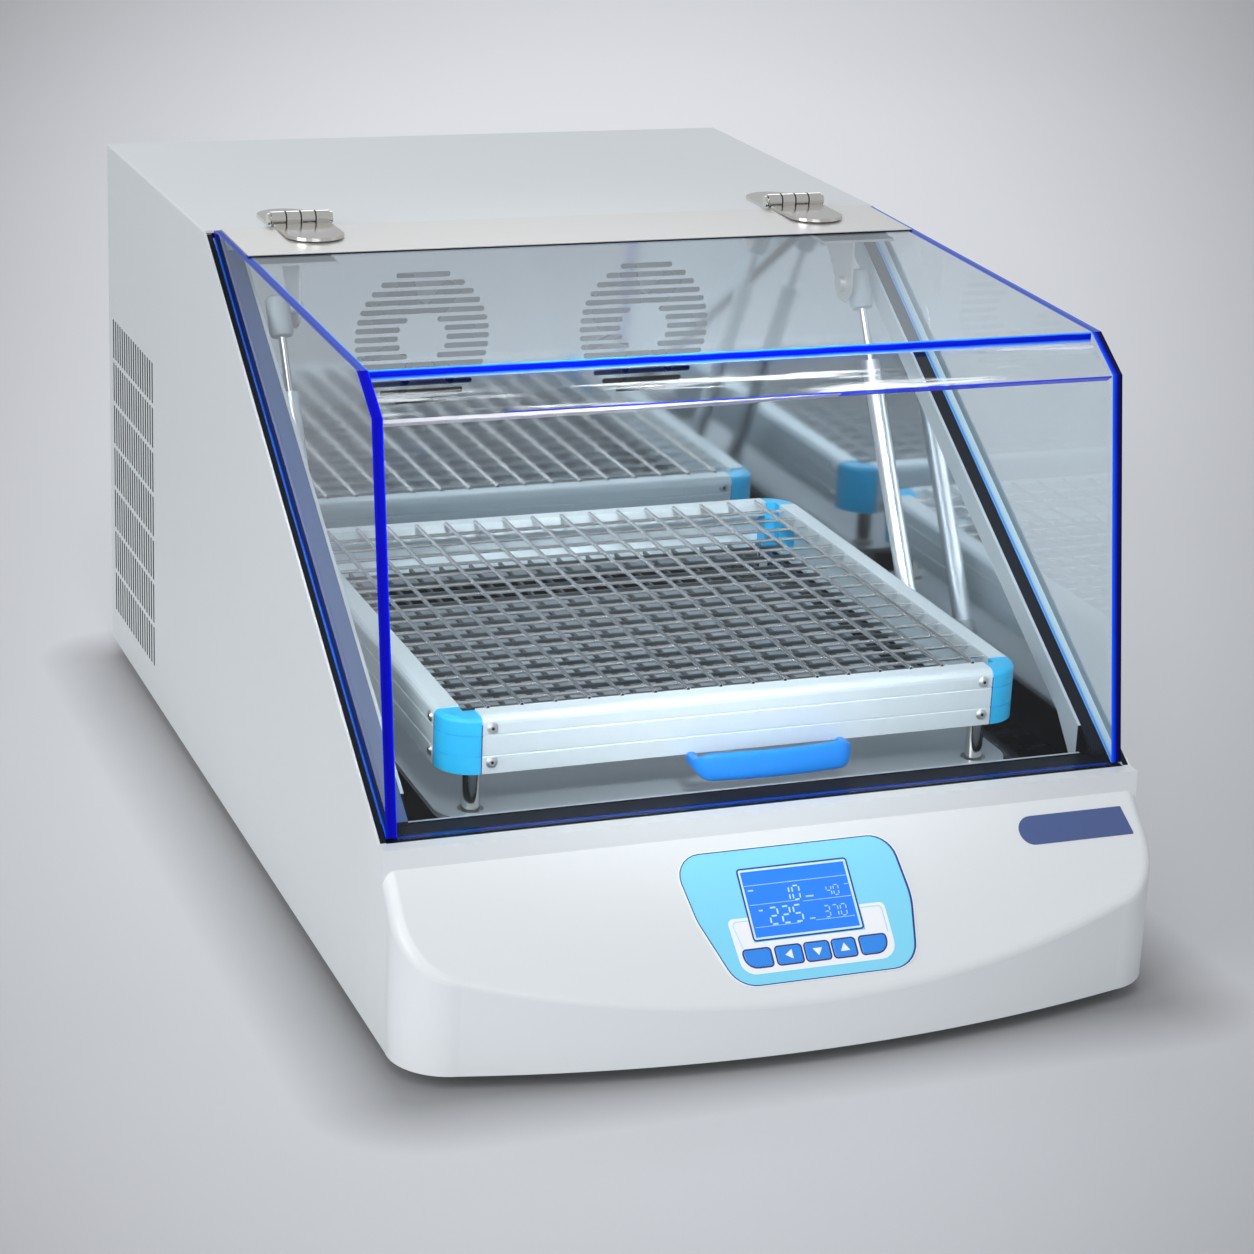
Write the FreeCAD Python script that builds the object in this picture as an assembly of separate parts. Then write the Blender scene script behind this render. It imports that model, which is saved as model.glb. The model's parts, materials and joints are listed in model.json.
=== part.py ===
import FreeCAD, Part
import math
import os

os.makedirs("parts", exist_ok=True)

# Shaking incubator, millimetres. X to the right, Y to the back, Z up.
# The origin is under the middle of the box, on the surface that the feet stand on.

# Driving sizes: cabinet. Its width and length follow from the tray and these rooms round it.
FOOT_H = 12.0
CAB_H = 461.0
TOP_L = 362.0
SHEET = 2.0
RUN_GAP = 0.3
MACHINE_L = 329.0
COVER_R = 1.8
OVERCUT = 1.0
FOOT_R = 20.0
FOOT_TAPER = 3.0
FOOT_INSET_X = 60.0
FOOT_INSET_BACK = 60.0
FOOT_INSET_FRONT = 150.0
PAN_FLANGE_H = 24.0
PAN_INSET = 4.0
PAN_FRONT_SHARE = 0.7

# Driving sizes: front fascia
BOW = 91.0
BOW_EDGE = 60.5
BOW_CORNER = 38.0
CORNER_Y = 12.0
CORNER_BULGE = 46.0
CORNER_BULGE_X = 10.5
CORNER_BULGE_IN = 0.7
DECK_H = 145.0
BAND_H = 15.0
SLOPE_DEG = 44.7
SEAM_BACK = 35.0
FASCIA_T = 3.0
FASCIA_FLOOR_RIM = 12.0
PANEL_CUT = (-40.0, 5.0)
RIM_W = 12.0
SIDE_RIM_W = 6.0
CREASE_R = 9.0
BAND_R = 3.0

# Driving sizes: side vents
VENT_ROWS = 7
VENT_COLS = 18
VENT_PITCH_Y = 9.2
VENT_PITCH_Z = 39.8
VENT_SLOT_W = 4.2
VENT_SLOT_H = 35.6
VENT_FROM_BACK = 16.0
VENT_FROM_BASE = 32.0

# Driving sizes: chamber
CH_INSET = 20.0
CH_WALL = 1.5
CH_DEPTH = 49.0
CH_FRONT = 41.4
LIP_INSET = 8.0
LIP_T = 2.5
LIP_DEPTH = 17.0
LIP_PROUD = 0.5
FLANGE_H = 12.0
GASKET_T = 3.0
CRANK_HOLE_GAP = 5.0
IDLER_HOLE_GAP = 7.0
DUCT_COLS = 2
DUCT_ROWS = 14
DUCT_START = 60.0
DUCT_SLOT = (14.0, 20.0)
DUCT_PITCH = 28.0
DUCT_FROM_WALL = 8.0
DUCT_BAR = 5.0

# Driving sizes: fan grilles in the back wall
FAN_X = 98.0
FAN_FROM_TOP = 104.0
FAN_R = 58.0
FAN_DISC_R = 18.5
FAN_PITCH = 7.6
FAN_SLOT = 4.6
FAN_SLOT_NIP = 0.6
ROTOR_R = 52.0
ROTOR_HUB_R = 17.0
ROTOR_DEPTH = 16.0
ROTOR_BLADES = 7
ROTOR_GAP = 6.0
BLADE_ROOT = 3.0
BLADE_OVER = 0.55
BLADE_T = 2.0
BLADE_PITCH = 35.0
FAN_SHAFT_R = 3.0
FAN_MOTOR_R = 24.0
FAN_MOTOR_L = 30.0
PLENUM_L = 62.0
PLENUM_T = 3.0

# Driving sizes: lid
LID_INSET = 6.5
ACRYLIC = 8.0
LID_FRONT = 15.0
LID_C_Y = 65.5
LID_C_DROP = 31.0
LID_B_Y = 102.0
LID_B_DROP = 7.5
LID_REAR_GAP = 9.5
LID_REAR_RISE = 1.8
STRIP_INSET = 5.0
STRIP_L = 88.0
STRIP_T = 1.5
HINGE_INSET = 70.5
HINGE_AHEAD = 3.0
HINGE_RISE = 8.0
BARREL_R = 6.0
BARREL_L = 48.0
KNUCKLES = 4
KNUCKLE_GAP = 0.3
PIN_R = 3.0
PIN_FIT = 0.05
LEAF_T = 2.5
LEAF_W = 46.0
LEAF_BACK = 63.0
LEAF_FRONT = 66.0
LEAF_GAP = 1.5
LEAF_ROUND = 0.72
PIN_HEAD_R = 4.6
PIN_HEAD_L = 2.0

# Driving sizes: gas struts
STRUT_INSET = 23.0
STRUT_LOW_AHEAD = 223.0
STRUT_HIGH_AHEAD = 69.0
STRUT_HIGH_DROP = 49.0
STRUT_TUBE_R = 7.5
STRUT_ROD_R = 3.2
STRUT_TUBE_L = 228.0
STRUT_EYE_R = 8.0
STRUT_EYE_W = 8.0
STRUT_STUD_R = 4.0
STUD_FOOT_L = 5.0
STUD_NUT_R = 6.5
STUD_NUT_L = 5.0
EYE_NECK_R = 3.8
EYE_NECK_L = 8.0
TUBE_START = 5.0
TUBE_END_T = 6.0
TUBE_BORE_R = 5.0
CAP_R = 7.0
ROD_START = 40.0
PISTON_R = 4.8
PISTON_L = 8.0
EAR_IN = 14.0
EAR_T = 2.0
EAR_W = 30.0
EAR_NARROW = 4.0
BRACKET_IN = 42.0
BRACKET_OUT = 21.0
BRACKET_L = 72.0
BRACKET_REAR = 6.0

# Driving sizes: drive
ORBIT = 10.0
SPINDLE_BACK = 7.8
SPINDLE_R = 12.5
BEARING_R = 26.0
BEARING_W = 15.0
HOUSING_R = 35.0
FRAME_H = 40.0
FRAME_T = 5.0
FRAME_LEG_T = 4.0
FRAME_EDGE = 6.0
FRAME_AHEAD = 174.5
FRAME_BEHIND = 147.5
HOUSING_UNDER = 8.0
SPINDLE_HOLE_GAP = 6.0
MOTOR_HOLE_GAP = 4.0
SPINDLE_END = 2.0
CRANK_R = 32.0
CRANK_T = 7.0
CRANK_LIFT = 2.0
PIN_SHORT = 1.0
PIN_TOP_R = 10.0
PULLEY_R = 75.0
MOTOR_PULLEY_R = 25.0
PULLEY_FLANGE = 3.0
FLANGE_PROUD = 4.0
PULLEY_WEB_T = 5.0
PULLEY_RIM_T = 8.0
PULLEY_HUB_T = 12.0
WEIGHT_START = 8.0
PULLEY_W = 16.0
PULLEY_H = 16.0
MOTOR_X = 165.0
MOTOR_R = 44.0
MOTOR_UNDER = 7.0
MOTOR_SHAFT_R = 6.0
MOTOR_BORE_END = 8.0
BELT_T = 3.0
BELT_EDGE = 1.0
BELT_GAP = 0.3
IDLERS = ((-150.0, 100.0), (150.0, 100.0), (0.0, -140.0))
IDLER_R = 6.0
IDLER_SEAT = 4.0
IDLER_LIFT = 1.0
IDLER_BOSS_R = 16.0
IDLER_PIN_R = 5.0
IDLER_DISC_R = 20.0
IDLER_DISC_T = 5.0

# Driving sizes: platform plate and tray
PLATE_RISE = 32.0
PLATE_T = 4.0
PLATE_INSET = 1.0
PLATE_CORNER_R = 28.0
HUB_R = 28.0
HUB_H = 20.0
BOSS_WALL = 7.0
BOSS_SHORT = 4.0
PIN_ROOF = 0.5
SOCKET_R = 12.0
SOCKET_H = 16.0
SOCKET_HOLE_R = 9.5
SOCKET_FLOOR = 2.0
TRAY_W = 452.0
TRAY_RISE = 38.0
TRAY_SIDE_GAP = 3.5
TRAY_END_GAP = 16.55
RAIL_H = 43.0
RAIL_W = 18.0
RAIL_WALL = 2.5
RAIL_END = 27.0
RAIL_TOP_R = 6.0
RAIL_ARC_STEPS = 4
RAIL_LIP = 12.0
GROOVE = 0.8
GROOVE_AT = (0.33, 0.69)
CORNER_R = 27.0
CORNER_LOW = 1.0
CORNER_EDGE_R = 4.0
WIRE_R = 1.5
WIRE_LOW_R = 1.3
WIRE_PITCH = 25.3
WIRE_MARGIN = 18.0
WIRE_DROP = 5.5
MESH_BAR = 2.6
MESH_PITCH = 26.0
MESH_MARGIN = 8.0
MESH_SEAT = 6.0
POST_R = 6.5
POST_INSET_X = 27.0
POST_INSET_Y = 22.0
POST_SEAT_GAP = 0.2
HANDLE_X = 18.0
HANDLE_HALF = 62.0
HANDLE_OUT = 25.0
HANDLE_DROP = 3.0
HANDLE_END_R = 8.0
HANDLE_CHAMFER = 1.5
HANDLE_BAR_H = 17.0
HANDLE_BAR_T = 9.0
HANDLE_FOOT = 24.0

# Driving sizes: control panel, measured along the slope from its top crease
PANEL_TOP = 12.5
PANEL_LOW = 114.0
OVERLAY_T = 0.8
OVERLAY_CORNERS = ((-84.0, PANEL_TOP, 18.0), (84.0, PANEL_TOP, 20.0), (89.0, 62.0, 60.0),
                   (79.0, PANEL_LOW, 22.0), (-57.0, PANEL_LOW, 22.0), (-76.0, 62.0, 40.0))
DISPLAY_W = 80.0
DISPLAY_H = 50.0
DISPLAY_X = 4.0
DISPLAY_TOP = 29.5
DISPLAY_T = 4.0
DISPLAY_GAP = 1.0
KEY_TOP = 87.5
KEY_H = 13.0
KEY_X = ((-48.0, -28.0), (-24.0, -5.0), (-2.0, 16.0), (19.0, 36.0), (40.0, 60.0))
KEY_R = 3.0
KEY_PROUD = 1.6
KEY_DEEP = 5.0
KEY_GAP = 0.4
KEY_TRAVEL = 0.6
BOARD_W = 150.0
BOARD_H = 92.0
BOARD_T = 1.6
BOARD_ABOVE = 8.0
BOARD_POST_R = 3.0
BOARD_POST_INSET = 6.0

# Driving sizes: rear fittings
INLET_INSET = 100.0
INLET_H = 70.0
INLET_SIZE = (28.0, 20.0)
INLET_DEPTH = 26.0
INLET_WALL = 2.0
INLET_POCKET = 18.0
INLET_PIN = (2.0, 5.0)
INLET_PIN_TIP = 4.0
INLET_PIN_X = (-7.0, 0.0, 7.0)
ROCKER_INSET = 150.0
ROCKER_SIZE = (14.0, 21.0)
ROCKER_DEPTH = 9.0
ROCKER_END_GAP = 1.2
ROCKER_FACE = (1.2, 0.6, 2.2)

# Driving sizes: refrigeration, heating and electrics
COMPRESSOR_INSET = 200.0
COMPRESSOR_BACK = 130.0
COMPRESSOR_R = 62.0
COMPRESSOR_H = 130.0
DOME_H = 22.0
DOME_R = 40.0
COMPRESSOR_FEET = (80.0, 55.0, 6.0)
STUB_R = 5.0
STUB_L = 20.0
STUB_H = 60.0
COIL_INSET = 40.0
COIL_NEAR_BACK = 20.0
COIL_L = 155.0
COIL_LOW = 30.0
COIL_H = 270.0
COIL_CORE = 8.0
COIL_FIN = 32.0
COIL_FINS = 14
FIN_T = 2.0
SHROUD_GAP = 26.0
SHROUD_RING = 24.0
CFAN_R = 66.0
CFAN_H = 170.0
CFAN_BACK = 97.0
CFAN_HUB_R = 20.0
CFAN_DEPTH = 18.0
CFAN_BLADES = 5
CFAN_TIP_GAP = 3.0
CFAN_SEAT = 3.0
CFAN_ARM = 10.0
CFAN_ARM_X = 40.0
CFAN_ARM_T = 4.0
CFAN_MOTOR_R = 22.0
EVAP_HALF = 190.0
EVAP_UNDER_FAN = 95.0
EVAP_H = 112.0
EVAP_CORE = 30.0
EVAP_FRONT_GAP = 8.0
EVAP_FIN_PITCH = 30.0
EVAP_FIN_OVER = 6.0
HEATER_HALF = 200.0
HEATER_R = 4.0
HEATER_ROW = 10.0
HEATER_Y = 36.0
HEATER_UNDER_FAN = 73.0
SUPPLY_W = 96.0
SUPPLY_L = 140.0
SUPPLY_H = 50.0
SUPPLY_BACK = 110.0
SUPPLY_STAND = 110.0
SUPPLY_INSET = 12.0

# Places that follow from the driving sizes
TRAY_HALF = TRAY_W / 2
STRUT_X = TRAY_HALF + TRAY_SIDE_GAP + ORBIT + STRUT_TUBE_R
CH_HALF = STRUT_X + STRUT_INSET
HALF_W = CH_HALF + CH_INSET
LIP_HALF = CH_HALF - LIP_INSET
LID_HALF = HALF_W - LID_INSET
STRIP_HALF = LID_HALF - STRIP_INSET
HINGE_X = LID_HALF - HINGE_INSET
EAR_X = STRUT_X - EAR_IN
BODY_W = 2 * HALF_W
BOW_HALF = HALF_W - BOW_CORNER
CH_BACK = CH_FRONT + CH_WALL + 2 * (TRAY_HALF + ORBIT + TRAY_END_GAP)
BODY_L = BOW + CH_BACK + MACHINE_L
REAR_EDGE = BODY_L - BOW - TOP_L
SPINDLE_Y = (CH_FRONT + CH_BACK) / 2 + SPINDLE_BACK
CH_FLOOR_H = DECK_H - CH_DEPTH
HOUSING_TOP = CH_FLOOR_H - HOUSING_UNDER
MOTOR_L = CH_FLOOR_H - MOTOR_UNDER - FRAME_H - FRAME_T
PLATE_H = CH_FLOOR_H + PLATE_RISE
PLATE_HALF = TRAY_HALF - PLATE_INSET
TRAY_BOTTOM = PLATE_H + TRAY_RISE
WIRE_H = TRAY_BOTTOM + RAIL_H - WIRE_DROP
HANDLE_Z = TRAY_BOTTOM - HANDLE_DROP
FAN_H = CAB_H - FAN_FROM_TOP
LID_C = (LID_C_Y, CAB_H - LID_C_DROP)
LID_B = (LID_B_Y, CAB_H - LID_B_DROP)
LID_REAR = REAR_EDGE - LID_REAR_GAP
LID_REAR_H = CAB_H + LID_REAR_RISE
HINGE_Y = REAR_EDGE - HINGE_AHEAD
HINGE_H = CAB_H + HINGE_RISE
STRUT_LOW = (REAR_EDGE - STRUT_LOW_AHEAD, DECK_H)
STRUT_HIGH = (REAR_EDGE - STRUT_HIGH_AHEAD, CAB_H - STRUT_HIGH_DROP)
FRAME_HALF = MOTOR_X + MOTOR_R + FRAME_EDGE
FRAME_FRONT = SPINDLE_Y - FRAME_AHEAD
FRAME_BACK = SPINDLE_Y + FRAME_BEHIND
INLET_X = HALF_W - INLET_INSET
ROCKER_X = HALF_W - ROCKER_INSET
COMPRESSOR_X = HALF_W - COMPRESSOR_INSET
COIL_X = COIL_INSET - HALF_W
SHROUD_X = COIL_X + SHROUD_GAP
BACK_Y = BODY_L / 2
FRONT_Y = -BODY_L / 2
DECK_Y = FRONT_Y + BOW
BASE_Z = FOOT_H
TOP_Z = BASE_Z + CAB_H
DECK_Z = BASE_Z + DECK_H
EDGE_Y = BACK_Y - TOP_L
SEAM_Y = DECK_Y + SEAM_BACK
SLOPE = math.radians(SLOPE_DEG)
SLANT_RUN = EDGE_Y - (DECK_Y + RIM_W)
SLANT = math.atan2(TOP_Z - DECK_Z, SLANT_RUN)
AXIS_Y = DECK_Y + SPINDLE_Y
TRAY_Y = AXIS_Y - ORBIT
PLENUM_Y = DECK_Y + CH_BACK + CH_WALL + PLENUM_L
CFAN_Y = BACK_Y - CFAN_BACK
CFAN_Z = BASE_Z + CFAN_H


def vec(x, y, z):
    return FreeCAD.Vector(x, y, z)


def dy(distance):
    """Y of a point that lies this far behind the deck's front edge."""
    return DECK_Y + distance


def dz(height):
    """Z of a point at this height above the cabinet's bottom edge."""
    return BASE_Z + height


def box(x0, x1, y0, y1, z0, z1):
    return Part.makeBox(x1 - x0, y1 - y0, z1 - z0, vec(x0, y0, z0))


def rod(start, end, radius):
    line = end - start
    return Part.makeCylinder(radius, line.Length, start, line)


def tube_z(x, y, z0, z1, outer, inner):
    solid = Part.makeCylinder(outer, z1 - z0, vec(x, y, z0))
    return solid.cut(Part.makeCylinder(inner, z1 - z0 + 2, vec(x, y, z0 - 1)))


def disc_z(x, y, z0, z1, radius):
    return Part.makeCylinder(radius, z1 - z0, vec(x, y, z0))


def prism(points, direction):
    wire = Part.makePolygon(points + [points[0]])
    return Part.Face(wire).extrude(direction)


def prism_x(points, x0, x1):
    """Outline in Y and Z, from x0 to x1."""
    return prism([vec(x0, y, z) for y, z in points], vec(x1 - x0, 0, 0))


def round_rect_z(half_x, half_y, radius, x, y, z0, z1):
    solid = box(x - half_x, x + half_x, y - half_y, y + half_y, z0, z1)
    upright = [e for e in solid.Edges if abs(e.tangentAt(e.FirstParameter).z) > 0.9]
    return solid.makeFillet(radius, upright)


def hexagon(radius):
    """Corners of a hexagon with two level sides, this far from its centre to each side."""
    corner = radius / math.cos(math.pi / 6)
    return [(corner * math.cos(math.pi * i / 3), corner * math.sin(math.pi * i / 3)) for i in range(6)]


def mirror_x(solid):
    return solid.mirror(vec(0, 0, 0), vec(1, 0, 0))


def both_sides(solid):
    return [solid, mirror_x(solid)]


def join(solids):
    result = solids[0]
    for other in solids[1:]:
        result = result.fuse(other)
    return result.removeSplitter()


def cut_all(solid, tools):
    return solid.cut(Part.makeCompound(tools))


def save(name, solids):
    shape = solids[0] if len(solids) == 1 else Part.makeCompound(solids)
    shape.exportStep("parts/" + name + ".step")
    print(name, len(shape.Solids), shape.isValid(), round(shape.Volume / 1000, 1))


def slant_y(z, offset):
    """Y on the line of the slanted rim, moved by offset square to it (up is positive)."""
    return DECK_Y + RIM_W + (z - DECK_Z) / math.tan(SLANT) - offset / math.sin(SLANT)


def slant_z(y, offset):
    """Z on the line of the slanted rim, moved by offset square to it."""
    return DECK_Z + (y - DECK_Y - RIM_W) * math.tan(SLANT) + offset / math.cos(SLANT)


def slant_bar(x0, x1, low, high, y0, y1):
    """Bar along the slanted rim, between two offsets from it, cut upright at y0 and y1."""
    points = [(y0, slant_z(y0, low)), (y1, slant_z(y1, low)),
              (y1, slant_z(y1, high)), (y0, slant_z(y0, high))]
    return prism_x(points, x0, x1)


def on_slope(x, down, out):
    """Point of the sloping control face, out is square to it."""
    y = DECK_Y - down * math.cos(SLOPE) - out * math.sin(SLOPE)
    z = DECK_Z - BAND_H - down * math.sin(SLOPE) + out * math.cos(SLOPE)
    return vec(x, y, z)


def slope_normal():
    return vec(0, -math.sin(SLOPE), math.cos(SLOPE))


def slope_block(x0, x1, down0, down1, out0, out1, radius):
    """Rounded block standing on the sloping face."""
    corners = [on_slope(x0, down0, out0), on_slope(x1, down0, out0),
               on_slope(x1, down1, out0), on_slope(x0, down1, out0)]
    solid = prism(corners, slope_normal() * (out1 - out0))
    if radius <= 0:
        return solid
    normal = slope_normal()
    short = [e for e in solid.Edges if abs(e.tangentAt(e.FirstParameter).dot(normal)) > 0.9]
    return solid.makeFillet(radius, short)


# Cabinet shell

def base_pan():
    low = box(-HALF_W + PAN_INSET, HALF_W - PAN_INSET, SEAM_Y, BACK_Y - PAN_INSET,
              BASE_Z, BASE_Z + PAN_FLANGE_H)
    hollow = box(-HALF_W + PAN_INSET + SHEET, HALF_W - PAN_INSET - SHEET, SEAM_Y - OVERCUT,
                 BACK_Y - PAN_INSET - SHEET, BASE_Z + SHEET, BASE_Z + PAN_FLANGE_H + OVERCUT)
    wide = HALF_W * PAN_FRONT_SHARE
    front = box(-wide, wide, DECK_Y - FASCIA_T, SEAM_Y, BASE_Z, BASE_Z + SHEET)
    return join([low.cut(hollow), front])


def feet():
    solids = []
    for x in (-HALF_W + FOOT_INSET_X, HALF_W - FOOT_INSET_X):
        for y in (FRONT_Y + FOOT_INSET_FRONT, BACK_Y - FOOT_INSET_BACK):
            solids.append(Part.makeCone(FOOT_R - FOOT_TAPER, FOOT_R, FOOT_H, vec(x, y, 0)))
    return solids


def vent_slots(x0, x1):
    slots = []
    for row in range(VENT_ROWS):
        z = BASE_Z + VENT_FROM_BASE + row * VENT_PITCH_Z
        for col in range(VENT_COLS):
            y = BACK_Y - VENT_FROM_BACK - col * VENT_PITCH_Y
            slots.append(box(x0, x1, y - VENT_SLOT_W, y, z, z + VENT_SLOT_H))
    return slots


def side_panel():
    """Right side: flat sheet with the vents, and the folded rim along its slanted edge."""
    outline = [(SEAM_Y, BASE_Z), (BACK_Y, BASE_Z), (BACK_Y, TOP_Z - SHEET),
               (slant_y(TOP_Z - SHEET, 0), TOP_Z - SHEET), (SEAM_Y, slant_z(SEAM_Y, 0))]
    sheet = prism_x(outline, HALF_W - SHEET, HALF_W)
    sheet = cut_all(sheet, vent_slots(HALF_W - SHEET - OVERCUT, HALF_W + OVERCUT))
    rear = slant_y(TOP_Z - SHEET, 0)
    rim = slant_bar(HALF_W - SIDE_RIM_W, HALF_W - SHEET, -GASKET_T - SHEET, 0, SEAM_Y, rear)
    shelf = slant_bar(CH_HALF, HALF_W - SIDE_RIM_W, -GASKET_T - SHEET, -GASKET_T, SEAM_Y, rear)
    return join([sheet, rim, shelf])


def top_panel():
    plate = box(-HALF_W, HALF_W, EDGE_Y, BACK_Y, TOP_Z - SHEET, TOP_Z)
    long_edges = [e for e in plate.Edges if abs(e.tangentAt(e.FirstParameter).y) > 0.9
                  and e.Vertexes[0].Z > TOP_Z - SHEET / 2]
    plate = plate.makeFillet(COVER_R, long_edges)
    flange = box(-LIP_HALF, LIP_HALF, EDGE_Y, EDGE_Y + SHEET, TOP_Z - FLANGE_H, TOP_Z)
    return join([plate, flange])


def rear_panel():
    plate = box(-HALF_W + SHEET, HALF_W - SHEET, BACK_Y - SHEET, BACK_Y,
                BASE_Z + SHEET, TOP_Z - SHEET)
    holes = []
    for x, size in ((INLET_X, INLET_SIZE), (ROCKER_X, ROCKER_SIZE)):
        holes.append(box(x - size[0] / 2, x + size[0] / 2, BACK_Y - SHEET - OVERCUT, BACK_Y + OVERCUT,
                         dz(INLET_H) - size[1] / 2, dz(INLET_H) + size[1] / 2))
    return cut_all(plate, holes)


def mains_inlet():
    w = INLET_SIZE[0] / 2
    h = INLET_SIZE[1] / 2
    z = dz(INLET_H)
    body = box(INLET_X - w, INLET_X + w, BACK_Y - INLET_DEPTH, BACK_Y - RUN_GAP, z - h, z + h)
    w -= INLET_WALL
    h -= INLET_WALL
    pocket = box(INLET_X - w, INLET_X + w, BACK_Y - INLET_POCKET, BACK_Y + OVERCUT, z - h, z + h)
    a = INLET_PIN[0] / 2
    b = INLET_PIN[1] / 2
    root = BACK_Y - INLET_POCKET - INLET_WALL / 2
    tip = BACK_Y - INLET_PIN_TIP
    pins = [box(INLET_X + x - a, INLET_X + x + a, root, tip, z - b, z + b) for x in INLET_PIN_X]
    return join([body.cut(pocket)] + pins)


def power_rocker():
    w = ROCKER_SIZE[0] / 2 - KEY_GAP
    h = ROCKER_SIZE[1] / 2 - ROCKER_END_GAP
    z = dz(INLET_H)
    deep = BACK_Y - ROCKER_DEPTH
    high, middle, low = ROCKER_FACE
    outline = [(deep, z - h), (deep, z + h), (BACK_Y - high, z + h),
               (BACK_Y - middle, z), (BACK_Y - low, z - h)]
    return prism_x(outline, ROCKER_X - w, ROCKER_X + w)


# Front fascia: a bowed prism cut by the sloping face, hollowed to its wall

def fascia_plan(inset, z0, z1):
    half = HALF_W - inset
    edge_y = DECK_Y - BOW_EDGE + inset
    bow_y = FRONT_Y + inset
    corner_y = DECK_Y - CORNER_Y
    bulge = vec(half - CORNER_BULGE_X, DECK_Y - CORNER_BULGE + inset * CORNER_BULGE_IN, z0)
    back = SEAM_Y + (OVERCUT if inset else 0)
    side = bulge.x
    right = Part.Arc(vec(BOW_HALF, edge_y, z0), bulge, vec(half, corner_y, z0)).toShape()
    left = Part.Arc(vec(-half, corner_y, z0), vec(-side, bulge.y, z0),
                    vec(-BOW_HALF, edge_y, z0)).toShape()
    bow = Part.Arc(vec(-BOW_HALF, edge_y, z0), vec(0, bow_y, z0),
                   vec(BOW_HALF, edge_y, z0)).toShape()
    up_right = Part.LineSegment(vec(half, corner_y, z0), vec(half, back, z0)).toShape()
    across = Part.LineSegment(vec(half, back, z0), vec(-half, back, z0)).toShape()
    up_left = Part.LineSegment(vec(-half, back, z0), vec(-half, corner_y, z0)).toShape()
    wire = Part.Wire([bow, right, up_right, across, up_left, left])
    return Part.Face(wire).extrude(vec(0, 0, z1 - z0))


def fascia_profile(inset):
    """Side outline: deck, upright band and slope, as a prism across the whole width."""
    drop = inset / math.cos(SLOPE)
    low_y = FRONT_Y - BOW / 2
    crease_z = DECK_Z - BAND_H
    low_z = crease_z - (DECK_Y - low_y) * math.tan(SLOPE)
    band_y = DECK_Y + inset
    back = SEAM_Y + (OVERCUT if inset else 0)
    deck = DECK_Z - inset
    deck_back = slant_y(deck, 0) if inset == 0 else DECK_Y + RIM_W
    shelf = slant_z(back, 0) if inset == 0 else deck
    points = [(low_y, low_z - drop), (band_y, crease_z - drop + inset * math.tan(SLOPE)),
              (band_y, deck), (deck_back, deck), (back, shelf), (back, BASE_Z - DECK_H),
              (low_y, BASE_Z - DECK_H)]
    return prism_x(points, -BODY_W, BODY_W)


def front_fascia():
    block = fascia_plan(0, BASE_Z, TOP_Z).common(fascia_profile(0))
    crease = []
    for edge in block.Edges:
        middle = edge.valueAt((edge.FirstParameter + edge.LastParameter) / 2)
        low = middle.z < DECK_Z - BAND_H - 1 and middle.z > BASE_Z + 1
        upright = abs(edge.tangentAt(edge.FirstParameter).z) > 0.9
        if low and middle.y < DECK_Y - 1 and not upright:
            crease.append(edge)
    block = block.makeFillet(CREASE_R, crease)
    gasket_bed = box(-HALF_W + SIDE_RIM_W, HALF_W - SIDE_RIM_W, DECK_Y + RIM_W, SEAM_Y + OVERCUT,
                     DECK_Z - GASKET_T, TOP_Z)
    block = block.cut(gasket_bed)
    inner = fascia_plan(FASCIA_T, BASE_Z + FASCIA_T, TOP_Z).common(fascia_profile(FASCIA_T))
    floor_open = fascia_plan(FASCIA_FLOOR_RIM, BASE_Z - OVERCUT, BASE_Z + FASCIA_T + OVERCUT)
    shell = block.cut(inner).cut(floor_open)
    reach = DISPLAY_W / 2 + DISPLAY_GAP
    deep, over = PANEL_CUT
    opening = slope_block(DISPLAY_X - reach, DISPLAY_X + reach, DISPLAY_TOP - DISPLAY_GAP,
                          DISPLAY_TOP + DISPLAY_H + DISPLAY_GAP, deep, over, 0)
    keys = [slope_block(a - KEY_GAP, b + KEY_GAP, KEY_TOP - KEY_GAP, KEY_TOP + KEY_H + KEY_GAP,
                        deep, over, 0) for a, b in KEY_X]
    return cut_all(shell, [opening] + keys)


# Control panel on the slope

def rounded_outline(corners):
    """Closed wire on the sloping face with an arc of the given radius at each corner."""
    edges = []
    count = len(corners)
    ends = []
    for i in range(count):
        x, down, radius = corners[i]
        here = on_slope(x, down, 0)
        before = on_slope(corners[i - 1][0], corners[i - 1][1], 0)
        after = on_slope(corners[(i + 1) % count][0], corners[(i + 1) % count][1], 0)
        a = (before - here).normalize()
        b = (after - here).normalize()
        half = math.acos(max(-1, min(1, a.dot(b)))) / 2
        reach = radius / math.tan(half)
        middle = (a + b).normalize()
        centre = here + middle * (radius / math.sin(half))
        ends.append((here + a * reach, centre - middle * radius, here + b * reach))
    for i in range(count):
        start, middle, end = ends[i]
        edges.append(Part.Arc(start, middle, end).toShape())
        edges.append(Part.LineSegment(end, ends[(i + 1) % count][0]).toShape())
    return Part.Wire(edges)


def control_overlay():
    face = Part.Face(rounded_outline(OVERLAY_CORNERS))
    plate = face.extrude(slope_normal() * OVERLAY_T)
    window = slope_block(DISPLAY_X - DISPLAY_W / 2, DISPLAY_X + DISPLAY_W / 2, DISPLAY_TOP,
                         DISPLAY_TOP + DISPLAY_H, -OVERCUT, OVERLAY_T + OVERCUT, 0)
    keys = [slope_block(a - KEY_GAP, b + KEY_GAP, KEY_TOP - KEY_GAP, KEY_TOP + KEY_H + KEY_GAP,
                        -OVERCUT, OVERLAY_T + OVERCUT, 0) for a, b in KEY_X]
    return cut_all(plate, [window] + keys)


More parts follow.
